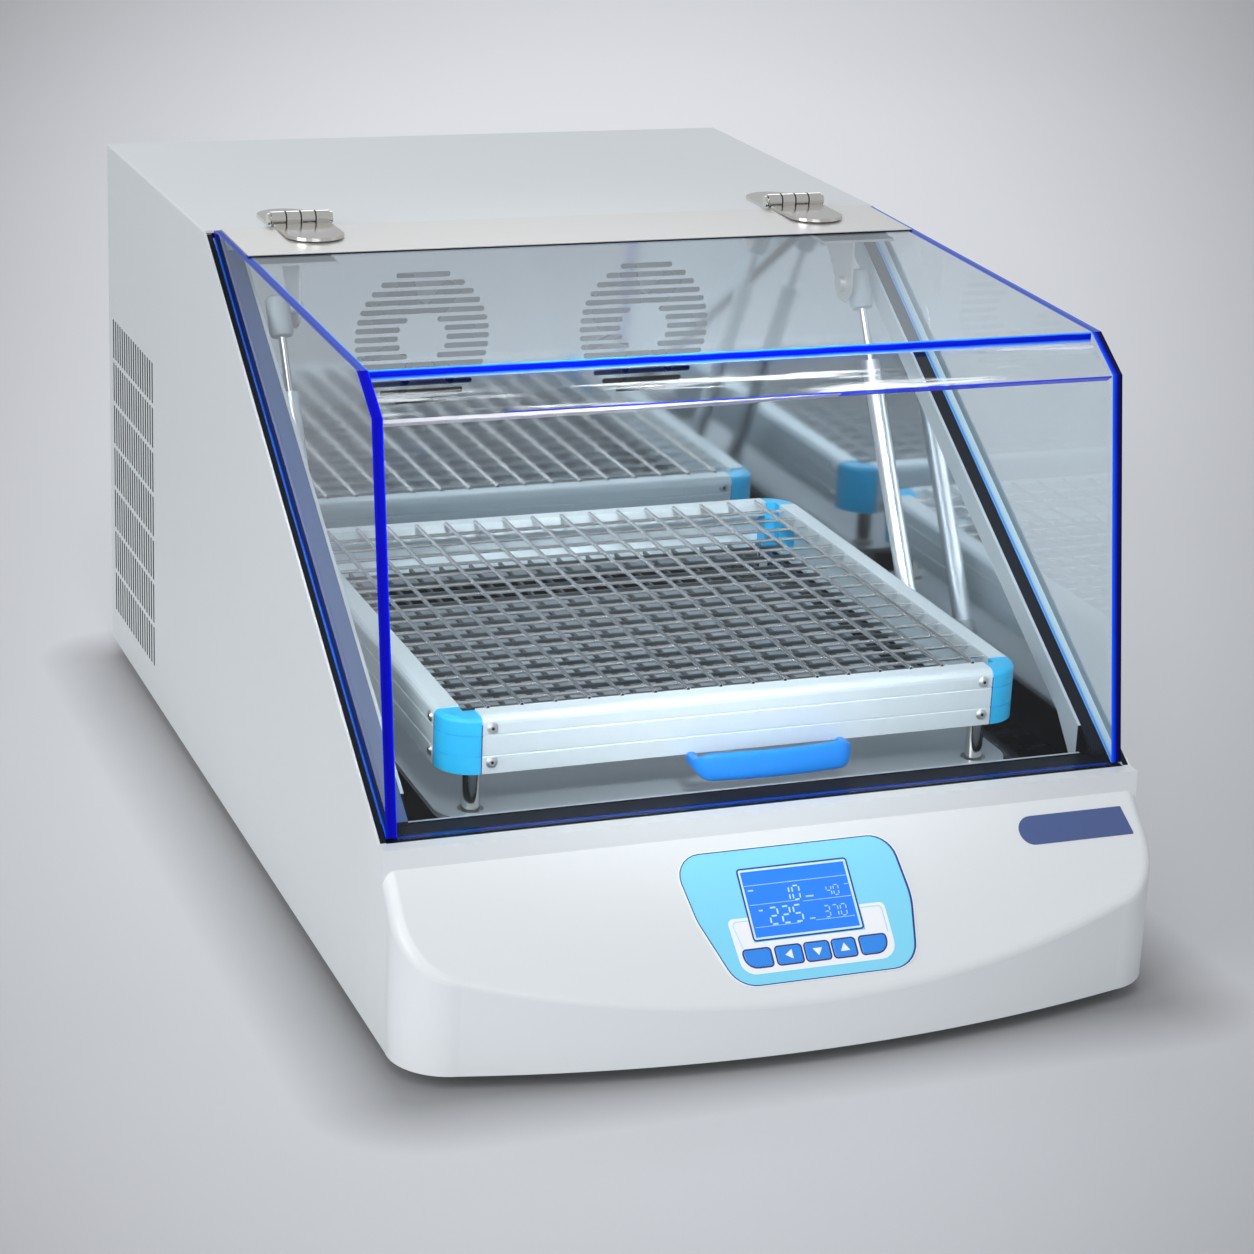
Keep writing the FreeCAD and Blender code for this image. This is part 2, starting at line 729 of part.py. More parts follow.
def display_window():
    return slope_block(DISPLAY_X - DISPLAY_W / 2, DISPLAY_X + DISPLAY_W / 2, DISPLAY_TOP,
                       DISPLAY_TOP + DISPLAY_H, OVERLAY_T / 2 - DISPLAY_T, OVERLAY_T / 2, 0)


def key(index):
    x0, x1 = KEY_X[index]
    return slope_block(x0, x1, KEY_TOP, KEY_TOP + KEY_H, -KEY_DEEP, KEY_PROUD, KEY_R)


def control_board():
    top = DISPLAY_TOP - BOARD_ABOVE
    depth = -KEY_DEEP - KEY_TRAVEL - RUN_GAP
    board = slope_block(DISPLAY_X - BOARD_W / 2, DISPLAY_X + BOARD_W / 2, top, top + BOARD_H,
                        depth - BOARD_T, depth, 0)
    module = slope_block(DISPLAY_X - DISPLAY_W / 2, DISPLAY_X + DISPLAY_W / 2, DISPLAY_TOP,
                         DISPLAY_TOP + DISPLAY_H, depth, OVERLAY_T / 2 - DISPLAY_T, 0)
    posts = []
    reach = BOARD_W / 2 - BOARD_POST_INSET
    for x in (DISPLAY_X - reach, DISPLAY_X + reach):
        for down in (top + BOARD_POST_INSET, top + BOARD_H - BOARD_POST_INSET):
            posts.append(rod(on_slope(x, down, depth), on_slope(x, down, -FASCIA_T), BOARD_POST_R))
    return join([board, module] + posts)


# Chamber

def chamber_floor():
    low = dz(CH_FLOOR_H)
    plate = box(-CH_HALF - CH_WALL, CH_HALF + CH_WALL, dy(CH_FRONT), dy(CH_BACK), low, low + CH_WALL)
    under = low - OVERCUT
    over = low + CH_WALL + OVERCUT
    holes = [disc_z(0, AXIS_Y, under, over, CRANK_R + CRANK_HOLE_GAP)]
    for x, y in IDLERS:
        holes.append(disc_z(x, AXIS_Y + y, under, over, ORBIT + IDLER_PIN_R + IDLER_HOLE_GAP))
    w, l = DUCT_SLOT
    for side in (-1, 1):
        for column in range(DUCT_COLS):
            x = side * (CH_HALF - DUCT_FROM_WALL - w / 2 - column * (w + DUCT_BAR))
            for row in range(DUCT_ROWS):
                y = dy(CH_FRONT) + DUCT_START + row * DUCT_PITCH
                holes.append(box(x - w / 2, x + w / 2, y, y + l, under, over))
    front = box(-CH_HALF, CH_HALF, dy(CH_FRONT), dy(CH_FRONT) + CH_WALL, low + CH_WALL,
                DECK_Z - GASKET_T - 2 * SHEET)
    return [cut_all(plate, holes), front]


def chamber_side_wall():
    """Right wall: its top edge follows the slanted rim, then the cabinet roof."""
    low = dz(CH_FLOOR_H) + CH_WALL
    offset = -GASKET_T - SHEET
    top = TOP_Z - SHEET
    front = dy(CH_FRONT)
    outline = [(front, low), (dy(CH_BACK), low), (dy(CH_BACK), top), (slant_y(top, offset), top),
               (front, slant_z(front, offset))]
    wall = prism_x(outline, CH_HALF, CH_HALF + CH_WALL)
    low_pivot = vec(STRUT_X + STRUT_EYE_W / 2 + RUN_GAP, dy(STRUT_LOW[0]), dz(STRUT_LOW[1]))
    stud = rod(low_pivot, vec(CH_HALF, low_pivot.y, low_pivot.z), STRUT_STUD_R)
    foot = rod(vec(CH_HALF - STUD_FOOT_L, low_pivot.y, low_pivot.z), vec(CH_HALF, low_pivot.y, low_pivot.z),
               STRUT_STUD_R * 2)
    return join([wall, stud, foot])


def fan_slots(x):
    slots = []
    rows = int(FAN_R / FAN_PITCH)
    y0 = dy(CH_BACK) - OVERCUT
    y1 = dy(CH_BACK) + CH_WALL + OVERCUT
    r = FAN_SLOT / 2
    for row in range(-rows, rows + 1):
        z = row * FAN_PITCH
        reach = math.sqrt(FAN_R ** 2 - z ** 2)
        spans = [(-reach, reach)]
        if abs(z) < FAN_DISC_R + r:
            inner = math.sqrt(max(FAN_DISC_R ** 2 - z ** 2, 0)) + r
            spans = [(-reach, -inner), (inner, reach)]
        for a, b in spans:
            if b - a < 2 * FAN_SLOT:
                continue
            h = dz(FAN_H) + z
            nip = r * FAN_SLOT_NIP
            outline = [(a, h - r + nip), (a + nip, h - r), (b - nip, h - r), (b, h - r + nip),
                       (b, h + r - nip), (b - nip, h + r), (a + nip, h + r), (a, h + r - nip)]
            slots.append(prism([vec(x + u, y0, w) for u, w in outline], vec(0, y1 - y0, 0)))
    return slots


def chamber_back_wall():
    plate = box(-CH_HALF - CH_WALL, CH_HALF + CH_WALL, dy(CH_BACK), dy(CH_BACK) + CH_WALL,
                dz(CH_FLOOR_H), TOP_Z - SHEET)
    return cut_all(plate, fan_slots(-FAN_X) + fan_slots(FAN_X))


def plenum_panel():
    half = HALF_W - PAN_INSET - SHEET
    return box(-half, half, PLENUM_Y, PLENUM_Y + PLENUM_T, BASE_Z + SHEET, TOP_Z - SHEET)


def fan_motors():
    start = PLENUM_Y - FAN_MOTOR_L
    return [rod(vec(x, start, dz(FAN_H)), vec(x, PLENUM_Y, dz(FAN_H)), FAN_MOTOR_R)
            for x in (-FAN_X, FAN_X)]


def fan_rotor(x):
    centre = vec(x, dy(CH_BACK) + CH_WALL + ROTOR_GAP, dz(FAN_H))
    hub = Part.makeCylinder(ROTOR_HUB_R, ROTOR_DEPTH, centre, vec(0, 1, 0))
    reach = PLENUM_L - FAN_MOTOR_L - ROTOR_GAP - RUN_GAP
    shaft = Part.makeCylinder(FAN_SHAFT_R, reach, centre, vec(0, 1, 0))
    return join([hub, shaft] + blades(centre, ROTOR_R, ROTOR_HUB_R, ROTOR_DEPTH, ROTOR_BLADES))


def blades(centre, outer, inner, depth, count):
    """Flat pitched blades round the Y axis through centre."""
    solids = []
    for i in range(count):
        blade = box(inner - BLADE_ROOT, outer, -depth * BLADE_OVER, depth * BLADE_OVER,
                    -BLADE_T / 2, BLADE_T / 2)
        blade.rotate(vec(0, 0, 0), vec(1, 0, 0), BLADE_PITCH)
        blade.translate(vec(0, depth / 2, 0))
        blade.rotate(vec(0, 0, 0), vec(0, 1, 0), 360.0 * i / count)
        blade.translate(centre)
        solids.append(blade)
    return solids


def opening_lip():
    """Collar round the chamber's mouth: upright leg with a foot under the gasket."""
    back = slant_y(TOP_Z - FLANGE_H, 0)
    front = dy(CH_FRONT) + CH_WALL
    start = front + LIP_T
    knee = start + LIP_DEPTH * 2
    top = DECK_Z + LIP_PROUD
    outline = [(start, top - LIP_DEPTH), (knee, slant_z(knee, -LIP_DEPTH)),
               (back, slant_z(back, -LIP_DEPTH)), (back, slant_z(back, LIP_PROUD)),
               (start, slant_z(start, LIP_PROUD))]
    leg = prism_x(outline, LIP_HALF, LIP_HALF + LIP_T)
    foot = slant_bar(LIP_HALF + LIP_T, CH_HALF, -GASKET_T - SHEET, -GASKET_T, start, back)
    side = join([leg, foot])
    leg_front = box(-LIP_HALF - LIP_T, LIP_HALF + LIP_T, front, front + LIP_T, top - LIP_DEPTH, top)
    foot_front = box(-CH_HALF, CH_HALF, SEAM_Y, front, DECK_Z - GASKET_T - 2 * SHEET,
                     DECK_Z - GASKET_T)
    return [join([leg_front, foot_front])] + both_sides(side)


def lid_gasket():
    """Flat black seal in the rebate, along the front and up both slanted sides."""
    inner = LIP_HALF + LIP_T
    outer = HALF_W - SIDE_RIM_W
    back = slant_y(TOP_Z - FLANGE_H, 0)
    front = box(-outer, outer, DECK_Y + RIM_W, dy(CH_FRONT), DECK_Z - GASKET_T, DECK_Z)
    start = dy(LID_FRONT) + ACRYLIC + GASKET_T
    side = slant_bar(inner, outer, -GASKET_T, 0, start, back)
    below = box(0, HALF_W, FRONT_Y, dy(CH_FRONT), 0, DECK_Z)
    return [front] + both_sides(side.cut(below))


# Lid of clear sheet

def lid_line(point):
    return (dy(point[0]), dz(point[1]))


def lid_side():
    """Right side sheet: straight lower edge on the gasket, cut corners at the front."""
    front_low = (dy(LID_FRONT), slant_z(dy(LID_FRONT), RUN_GAP))
    rear_low = (dy(LID_REAR), slant_z(dy(LID_REAR), RUN_GAP))
    outline = [front_low, lid_line(LID_C), lid_line(LID_B), (dy(LID_REAR), dz(LID_REAR_H)), rear_low]
    return prism_x(outline, LID_HALF - ACRYLIC, LID_HALF)


def lid_top():
    rise = LID_REAR_H - LID_B[1]
    run = LID_REAR - LID_B[0]
    tilt = math.atan2(rise, run)
    front = lid_line(LID_B)
    rear = (dy(LID_REAR), dz(LID_REAR_H))
    down = (ACRYLIC * math.sin(tilt), -ACRYLIC * math.cos(tilt))
    outline = [front, rear, (rear[0], rear[1] - ACRYLIC / math.cos(tilt)),
               (front[0] + down[0], front[1] + down[1])]
    half = LID_HALF - ACRYLIC
    return prism_x(outline, -half, half)


def offset_point(before, here, after, distance):
    """Corner of the line through three points, moved sideways to the right by distance."""
    a = math.atan2(here[1] - before[1], here[0] - before[0])
    b = math.atan2(after[1] - here[1], after[0] - here[0])
    middle = (a + b) / 2
    reach = distance / math.cos((b - a) / 2)
    return (here[0] + reach * math.sin(middle), here[1] - reach * math.cos(middle))


def lid_front():
    """Front sheet bent back at its top, butted under the top sheet's cut edge."""
    low = (dy(LID_FRONT), DECK_Z + RUN_GAP)
    bend = lid_line(LID_C)
    top = (lid_line(LID_B)[0], lid_line(LID_B)[1] - ACRYLIC)
    lean = math.atan2(bend[1] - low[1], bend[0] - low[0])
    inner_low = (low[0] + ACRYLIC / math.sin(lean), low[1])
    inner_bend = offset_point(low, bend, top, ACRYLIC)
    chamfer = math.atan2(top[1] - bend[1], top[0] - bend[0])
    inner_top = (top[0] + ACRYLIC * math.sin(chamfer), top[1] - ACRYLIC * math.cos(chamfer))
    half = LID_HALF - ACRYLIC
    lower = prism_x([low, bend, inner_bend, inner_low], -half, half)
    upper = prism_x([bend, top, inner_top, inner_bend], -half, half)
    return lower.fuse(upper).removeSplitter()


def lid_top_z(distance):
    """Height of the lid's upper face this far behind the deck's front edge."""
    part = (distance - LID_B[0]) / (LID_REAR - LID_B[0])
    return dz(LID_B[1] + part * (LID_REAR_H - LID_B[1]))


def lid_strip():
    y0 = LID_REAR - STRIP_L
    outline = [(dy(y0), lid_top_z(y0)), (dy(LID_REAR), lid_top_z(LID_REAR)),
               (dy(LID_REAR), lid_top_z(LID_REAR) + STRIP_T), (dy(y0), lid_top_z(y0) + STRIP_T)]
    return prism_x(outline, -STRIP_HALF, STRIP_HALF)


# Hinges: D-shaped leaves with four knuckles on one pin

def hinge_leaf(x, direction):
    """direction is 1 for the leaf on the cabinet and -1 for the leaf on the lid."""
    y = dy(HINGE_Y)
    z = dz(HINGE_H)
    if direction > 0:
        low = TOP_Z
        reach = LEAF_BACK
    else:
        low = lid_top_z(LID_REAR) + STRIP_T
        reach = LEAF_FRONT
    start = BARREL_R + LEAF_GAP
    half = LEAF_W / 2
    near = y + direction * start
    flat = y + direction * (reach - half * LEAF_ROUND)
    tip = y + direction * reach
    outline = [Part.LineSegment(vec(x - half, near, low), vec(x + half, near, low)).toShape(),
               Part.LineSegment(vec(x + half, near, low), vec(x + half, flat, low)).toShape(),
               Part.Arc(vec(x + half, flat, low), vec(x, tip, low), vec(x - half, flat, low)).toShape(),
               Part.LineSegment(vec(x - half, flat, low), vec(x - half, near, low)).toShape()]
    plate = Part.Face(Part.Wire(outline)).extrude(vec(0, 0, LEAF_T))
    pieces = [plate]
    pitch = BARREL_L / KNUCKLES
    for k in range(KNUCKLES):
        if (k % 2 == 0) != (direction > 0):
            continue
        x0 = x - BARREL_L / 2 + k * pitch + KNUCKLE_GAP / 2
        x1 = x0 + pitch - KNUCKLE_GAP
        barrel = rod(vec(x0, y, z), vec(x1, y, z), BARREL_R)
        wrap = box(x0, x1, min(y, near), max(y, near), low, low + LEAF_T)
        pieces += [barrel, wrap]
    bore = rod(vec(x - BARREL_L, y, z), vec(x + BARREL_L, y, z), PIN_R + PIN_FIT)
    return join(pieces).cut(bore)


def hinge_pin(x):
    y = dy(HINGE_Y)
    z = dz(HINGE_H)
    near = BARREL_L / 2 + RUN_GAP
    far = near + PIN_HEAD_L
    pin = rod(vec(x - near, y, z), vec(x + near, y, z), PIN_R)
    heads = [rod(vec(x + s * near, y, z), vec(x + s * far, y, z), PIN_HEAD_R) for s in (-1, 1)]
    return join([pin] + heads)


# Gas struts

def strut_points():
    low = vec(STRUT_X, dy(STRUT_LOW[0]), dz(STRUT_LOW[1]))
    high = vec(STRUT_X, dy(STRUT_HIGH[0]), dz(STRUT_HIGH[1]))
    return low, high, (high - low).normalize()


def strut_eye(centre, along):
    eye = rod(centre - vec(STRUT_EYE_W / 2, 0, 0), centre + vec(STRUT_EYE_W / 2, 0, 0), STRUT_EYE_R)
    neck = rod(centre, centre + along * (STRUT_EYE_R + EYE_NECK_L), EYE_NECK_R)
    return eye.fuse(neck)


def strut_cylinder():
    low, high, along = strut_points()
    start = low + along * (STRUT_EYE_R + TUBE_START)
    past = STRUT_TUBE_L + OVERCUT
    tube = rod(start, start + along * STRUT_TUBE_L, STRUT_TUBE_R)
    bore = rod(start + along * TUBE_END_T, start + along * past, TUBE_BORE_R)
    cap = rod(start + along * (STRUT_TUBE_L - TUBE_END_T), start + along * STRUT_TUBE_L, CAP_R)
    guide = rod(start, start + along * past, STRUT_ROD_R + PIN_FIT)
    barrel = join([tube.cut(bore), cap.cut(guide)])
    eye = strut_eye(low, along)
    return join([barrel, eye])


def strut_rod():
    low, high, along = strut_points()
    start = low + along * (STRUT_EYE_R + TUBE_START + ROD_START)
    shaft = rod(start, high - along * STRUT_EYE_R, STRUT_ROD_R)
    piston = rod(start, start + along * PISTON_L, PISTON_R)
    return join([shaft, piston, strut_eye(high, along * -1)])


def strut_bracket():
    """Right bracket under the lid: flat flange, hanging ear and the strut's stud."""
    low, high, along = strut_points()
    y1 = dy(LID_REAR) - BRACKET_REAR
    y0 = y1 - BRACKET_L
    z_back = lid_top_z(y1 - DECK_Y) - ACRYLIC - RUN_GAP
    z_front = lid_top_z(y0 - DECK_Y) - ACRYLIC - RUN_GAP
    flange = prism_x([(y0, z_front), (y1, z_back), (y1, z_back - EAR_T), (y0, z_front - EAR_T)],
                     STRUT_X - BRACKET_IN, STRUT_X + BRACKET_OUT)
    ear = prism_x([(high.y - EAR_W / 2, high.z), (high.y + EAR_W / 2, high.z),
                   (y1 - EAR_NARROW, z_back - EAR_T / 2), (y0 + EAR_NARROW, z_front - EAR_T / 2)],
                  EAR_X, EAR_X + EAR_T)
    tip = rod(vec(EAR_X, high.y, high.z), vec(EAR_X + EAR_T, high.y, high.z), EAR_W / 2)
    stud = rod(vec(EAR_X, high.y, high.z),
               vec(STRUT_X - STRUT_EYE_W / 2 - RUN_GAP, high.y, high.z), STRUT_STUD_R)
    nut = rod(vec(EAR_X - STUD_NUT_L, high.y, high.z), vec(EAR_X, high.y, high.z), STUD_NUT_R)
    return join([flange, ear, tip, stud, nut])


# Drive under the chamber floor

def drive_frame():
    z0 = dz(FRAME_H)
    z1 = z0 + FRAME_T
    plate = box(-FRAME_HALF, FRAME_HALF, dy(FRAME_FRONT), dy(FRAME_BACK), z0, z1)
    legs = [box(x, x + FRAME_LEG_T, dy(FRAME_FRONT), dy(FRAME_BACK), BASE_Z + SHEET, z0)
            for x in (-FRAME_HALF, FRAME_HALF - FRAME_LEG_T)]
    housing = disc_z(0, AXIS_Y, z1, dz(HOUSING_TOP), HOUSING_R)
    bosses = [disc_z(x, AXIS_Y + y, z1, dz(HOUSING_TOP), IDLER_BOSS_R) for x, y in IDLERS]
    under = z0 - OVERCUT
    over = z1 + OVERCUT
    past = dz(HOUSING_TOP) + OVERCUT
    bores = [disc_z(0, AXIS_Y, z1, past, BEARING_R),
             disc_z(0, AXIS_Y, under, over, SPINDLE_R + SPINDLE_HOLE_GAP),
             disc_z(MOTOR_X, AXIS_Y, under, over, MOTOR_SHAFT_R + MOTOR_HOLE_GAP)]
    bores += [disc_z(x, AXIS_Y + y, z1 + IDLER_SEAT, past, IDLER_R + PIN_FIT) for x, y in IDLERS]
    return cut_all(join([plate, housing] + legs + bosses), bores)


def spindle_bearings():
    z0 = dz(FRAME_H) + FRAME_T
    z1 = dz(HOUSING_TOP) - BEARING_W
    return [tube_z(0, AXIS_Y, z, z + BEARING_W, BEARING_R, SPINDLE_R + PIN_FIT) for z in (z0, z1)]


def crank_spindle():
    low = dz(PULLEY_H) - PULLEY_FLANGE - SPINDLE_END
    top = dz(HOUSING_TOP) + CRANK_LIFT
    shaft = disc_z(0, AXIS_Y, low, top + CRANK_T / 2, SPINDLE_R)
    disc = disc_z(0, AXIS_Y, top, top + CRANK_T, CRANK_R)
    pin = disc_z(0, AXIS_Y - ORBIT, top, dz(PLATE_H) - PIN_SHORT, PIN_TOP_R)
    return join([shaft, disc, pin])


def flywheel_pulley():
    z0 = dz(PULLEY_H)
    z1 = z0 + PULLEY_W
    rim = disc_z(0, AXIS_Y, z0, z1, PULLEY_R)
    bottom = z0 - PULLEY_FLANGE
    top = z1 + PULLEY_FLANGE
    low = disc_z(0, AXIS_Y, bottom, z0, PULLEY_R + FLANGE_PROUD)
    high = disc_z(0, AXIS_Y, z1, top, PULLEY_R + FLANGE_PROUD)
    over = top + OVERCUT
    web = tube_z(0, AXIS_Y, z0 + PULLEY_WEB_T, over, PULLEY_R - PULLEY_RIM_T, SPINDLE_R + PULLEY_HUB_T)
    weight_side = box(-PULLEY_R, PULLEY_R, AXIS_Y + WEIGHT_START, AXIS_Y + PULLEY_R, z0, over)
    bore = disc_z(0, AXIS_Y, bottom - OVERCUT, over, SPINDLE_R)
    return join([rim, low, high]).cut(web.cut(weight_side)).cut(bore)


def drive_motor():
    z0 = dz(FRAME_H) + FRAME_T
    can = disc_z(MOTOR_X, AXIS_Y, z0, z0 + MOTOR_L, MOTOR_R)
    end = z0 + MOTOR_L - MOTOR_BORE_END
    bore = disc_z(MOTOR_X, AXIS_Y, z0 - OVERCUT, end, MOTOR_SHAFT_R + PIN_FIT)
    return can.cut(bore)


def motor_pulley():
    z0 = dz(PULLEY_H)
    z1 = z0 + PULLEY_W
    rim = disc_z(MOTOR_X, AXIS_Y, z0, z1, MOTOR_PULLEY_R)
    low = disc_z(MOTOR_X, AXIS_Y, z0 - PULLEY_FLANGE, z0, MOTOR_PULLEY_R + FLANGE_PROUD)
    high = disc_z(MOTOR_X, AXIS_Y, z1, z1 + PULLEY_FLANGE, MOTOR_PULLEY_R + FLANGE_PROUD)
    end = dz(FRAME_H) + FRAME_T + MOTOR_L - MOTOR_BORE_END - RUN_GAP
    shaft = disc_z(MOTOR_X, AXIS_Y, z0, end, MOTOR_SHAFT_R)
    return join([rim, low, high, shaft])


def belt_loop(extra, z0, z1):
    """Open belt outline round both pulleys, grown by extra."""
    big = PULLEY_R + extra
    small = MOTOR_PULLEY_R + extra
    lean = math.acos((big - small) / MOTOR_X)
    c, s = math.cos(lean), math.sin(lean)
    a = vec(big * c, AXIS_Y + big * s, z0)
    b = vec(MOTOR_X + small * c, AXIS_Y + small * s, z0)
    a2 = vec(big * c, AXIS_Y - big * s, z0)
    b2 = vec(MOTOR_X + small * c, AXIS_Y - small * s, z0)
    edges = [Part.LineSegment(a, b).toShape(),
             Part.Arc(b, vec(MOTOR_X + small, AXIS_Y, z0), b2).toShape(),
             Part.LineSegment(b2, a2).toShape(),
             Part.Arc(a2, vec(-big, AXIS_Y, z0), a).toShape()]
    return Part.Face(Part.Wire(edges)).extrude(vec(0, 0, z1 - z0))


def drive_belt():
    z0 = dz(PULLEY_H) + BELT_EDGE
    z1 = dz(PULLEY_H) + PULLEY_W - BELT_EDGE
    inside = belt_loop(BELT_GAP, z0 - OVERCUT, z1 + OVERCUT)
    return belt_loop(BELT_GAP + BELT_T, z0, z1).cut(inside)


def idler_crank(index):
    x, y = IDLERS[index]
    y += AXIS_Y
    top = dz(HOUSING_TOP) + IDLER_LIFT
    low = dz(FRAME_H) + FRAME_T + IDLER_SEAT + RUN_GAP
    shaft = disc_z(x, y, low, top + IDLER_DISC_T / 2, IDLER_R)
    disc = disc_z(x, y, top, top + IDLER_DISC_T, IDLER_DISC_R)
    pin = disc_z(x, y - ORBIT, top, dz(PLATE_H) - PIN_SHORT, IDLER_PIN_R)
    return join([shaft, disc, pin])


# Platform plate that orbits, with its hub, idler bosses and post sockets

def post_places():
    x_reach = TRAY_HALF - POST_INSET_X
    y_reach = TRAY_HALF - POST_INSET_Y
    return [(x, TRAY_Y + y) for x in (-x_reach, x_reach) for y in (-y_reach, y_reach)]


def platform_plate():
    z0 = dz(PLATE_H)
    plate = round_rect_z(PLATE_HALF, PLATE_HALF, PLATE_CORNER_R, 0, TRAY_Y, z0, z0 + PLATE_T)
    hub = disc_z(0, TRAY_Y, z0 - HUB_H, z0, HUB_R)
    bosses = [disc_z(x, TRAY_Y + y, z0 - HUB_H + BOSS_SHORT, z0, IDLER_PIN_R + BOSS_WALL)
              for x, y in IDLERS]
    cups = [disc_z(x, y, z0 - SOCKET_H, z0, SOCKET_R) for x, y in post_places()]
    solid = join([plate, hub] + bosses + cups)
    under = z0 - HUB_H - OVERCUT
    roof = z0 - PIN_ROOF
    cuts = [disc_z(0, TRAY_Y, under, roof, PIN_TOP_R + PIN_FIT)]
    cuts += [disc_z(x, TRAY_Y + y, under, roof, IDLER_PIN_R + PIN_FIT) for x, y in IDLERS]
    floor = z0 - SOCKET_H + SOCKET_FLOOR
    for x, y in post_places():
        cuts.append(disc_z(x, y, z0, z0 + PLATE_T + OVERCUT, SOCKET_HOLE_R))
        cuts.append(disc_z(x, y, floor, z0 + OVERCUT, POST_R + RUN_GAP))
    return cut_all(solid, cuts)


# Lift-out tray

def rail_section():
    """Outer half of the tray's rail: inner face at 0, outer face at RAIL_W, foot at 0."""
    heights = [RAIL_H * (1 - part) for part in GROOVE_AT]
    points = [(0, RAIL_H - RAIL_LIP), (0, RAIL_H), (RAIL_W - RAIL_TOP_R, RAIL_H)]
    for i in range(1, RAIL_ARC_STEPS + 1):
        angle = math.radians(90 * (1 - i / RAIL_ARC_STEPS))
        points.append((RAIL_W - RAIL_TOP_R + RAIL_TOP_R * math.cos(angle),
                       RAIL_H - RAIL_TOP_R + RAIL_TOP_R * math.sin(angle)))
    for h in heights:
        points += [(RAIL_W, h + GROOVE), (RAIL_W - GROOVE, h), (RAIL_W, h - GROOVE)]
    points += [(RAIL_W, 0), (0, 0), (0, RAIL_WALL), (RAIL_W - RAIL_WALL, RAIL_WALL),
               (RAIL_W - RAIL_WALL, RAIL_H - RAIL_TOP_R), (RAIL_WALL, RAIL_H - RAIL_WALL),
               (RAIL_WALL, RAIL_H - RAIL_LIP)]
    return points


def tray_rails():
    z0 = dz(TRAY_BOTTOM)
    half = TRAY_HALF - RAIL_END
    inner = TRAY_HALF - RAIL_W
    solids = []
    points = [vec(-half, -inner - a, z0 + b) for a, b in rail_section()]
    front = prism(points, vec(2 * half, 0, 0))
    for turn in range(4):
        rail = front.copy()
        rail.rotate(vec(0, 0, 0), vec(0, 0, 1), 90 * turn)
        rail.translate(vec(0, TRAY_Y, 0))
        solids.append(rail)
    return solids


def rounded_corner(block, radius):
    """Round the upright edge at the front right of a block in the tray's corner."""
    edge = [e for e in block.Edges if abs(e.tangentAt(e.FirstParameter).z) > 0.9
            and e.Vertexes[0].X > TRAY_HALF - RAIL_END / 2
            and e.Vertexes[0].Y < RAIL_END / 2 - TRAY_HALF]
    return block.makeFillet(radius, edge)


def tray_corner():
    """Front right corner moulding, before it is turned to the other three places."""
    z0 = dz(TRAY_BOTTOM)
    z1 = z0 + RAIL_H - CORNER_LOW
    out = TRAY_HALF
    near = TRAY_HALF - RAIL_END
    inner = TRAY_HALF - RAIL_W
    block = box(near, out, -out, -near, z0, z1)
    block = rounded_corner(block, CORNER_R - CORNER_LOW)
    outer = [e for e in block.Edges if min(p.Z for p in e.Vertexes) > z1 - CORNER_LOW / 2
             and e.BoundBox.XMax > near + CORNER_LOW and e.BoundBox.YMin < -near - CORNER_LOW]
    block = block.makeFillet(CORNER_EDGE_R, outer)
    hollow = box(near - OVERCUT, inner, -inner, -near + OVERCUT, z0 - OVERCUT, z1 + OVERCUT)
    block = block.cut(hollow)
    for part in GROOVE_AT:
        h = z0 + RAIL_H * (1 - part)
        ring = box(near - OVERCUT, out + OVERCUT, -out - OVERCUT, -near + OVERCUT,
                   h - GROOVE / 2, h + GROOVE / 2)
        keep = box(near - 2 * OVERCUT, out - GROOVE, -out + GROOVE, -near + 2 * OVERCUT,
                   h - GROOVE, h + GROOVE)
        keep = rounded_corner(keep, CORNER_R - CORNER_LOW - GROOVE)
        block = block.cut(ring.cut(keep))
    return block


def tray_corners():
    solids = []
    first = tray_corner()
    for turn in range(4):
        piece = first.copy()
        piece.rotate(vec(0, 0, 0), vec(0, 0, 1), 90 * turn)
        piece.translate(vec(0, TRAY_Y, 0))
        solids.append(piece)
    return solids


def tray_springs():
    """Two crossed layers of straight wires, drawn six-sided, between the rails' inner lips."""
    inner = TRAY_HALF - RAIL_W
    z_top = dz(WIRE_H)
    z_low = z_top - WIRE_R - WIRE_LOW_R
    count = int(2 * (inner - WIRE_MARGIN) / WIRE_PITCH) + 1
    along = hexagon(WIRE_R)
    across = hexagon(WIRE_LOW_R)
    solids = []
    for i in range(count):
        place = (i - (count - 1) / 2) * WIRE_PITCH
        solids.append(prism([vec(place + a, TRAY_Y - inner, z_top + b) for a, b in along],
                            vec(0, 2 * inner, 0)))
        solids.append(prism([vec(-inner, TRAY_Y + place + a, z_low + b) for a, b in across],
                            vec(2 * inner, 0, 0)))
    return solids


def tray_mesh():
    """Open floor grid: two layers of square bars, ends on the rails' lower flanges."""
    inner = TRAY_HALF - RAIL_W + MESH_SEAT
    z = dz(TRAY_BOTTOM) + RAIL_WALL
    count = int(2 * (TRAY_HALF - RAIL_W - MESH_MARGIN) / MESH_PITCH) + 1
    solids = []
    for i in range(count):
        p = (i - (count - 1) / 2) * MESH_PITCH
        solids.append(box(p - MESH_BAR / 2, p + MESH_BAR / 2, TRAY_Y - inner, TRAY_Y + inner,
                          z, z + MESH_BAR))
        solids.append(box(-inner, inner, TRAY_Y + p - MESH_BAR / 2, TRAY_Y + p + MESH_BAR / 2,
                          z + MESH_BAR, z + 2 * MESH_BAR))
    return solids


def tray_posts():
    top = dz(TRAY_BOTTOM)
    low = dz(PLATE_H) - SOCKET_H + SOCKET_FLOOR + POST_SEAT_GAP
    return [disc_z(x, y, low, top, POST_R) for x, y in post_places()]


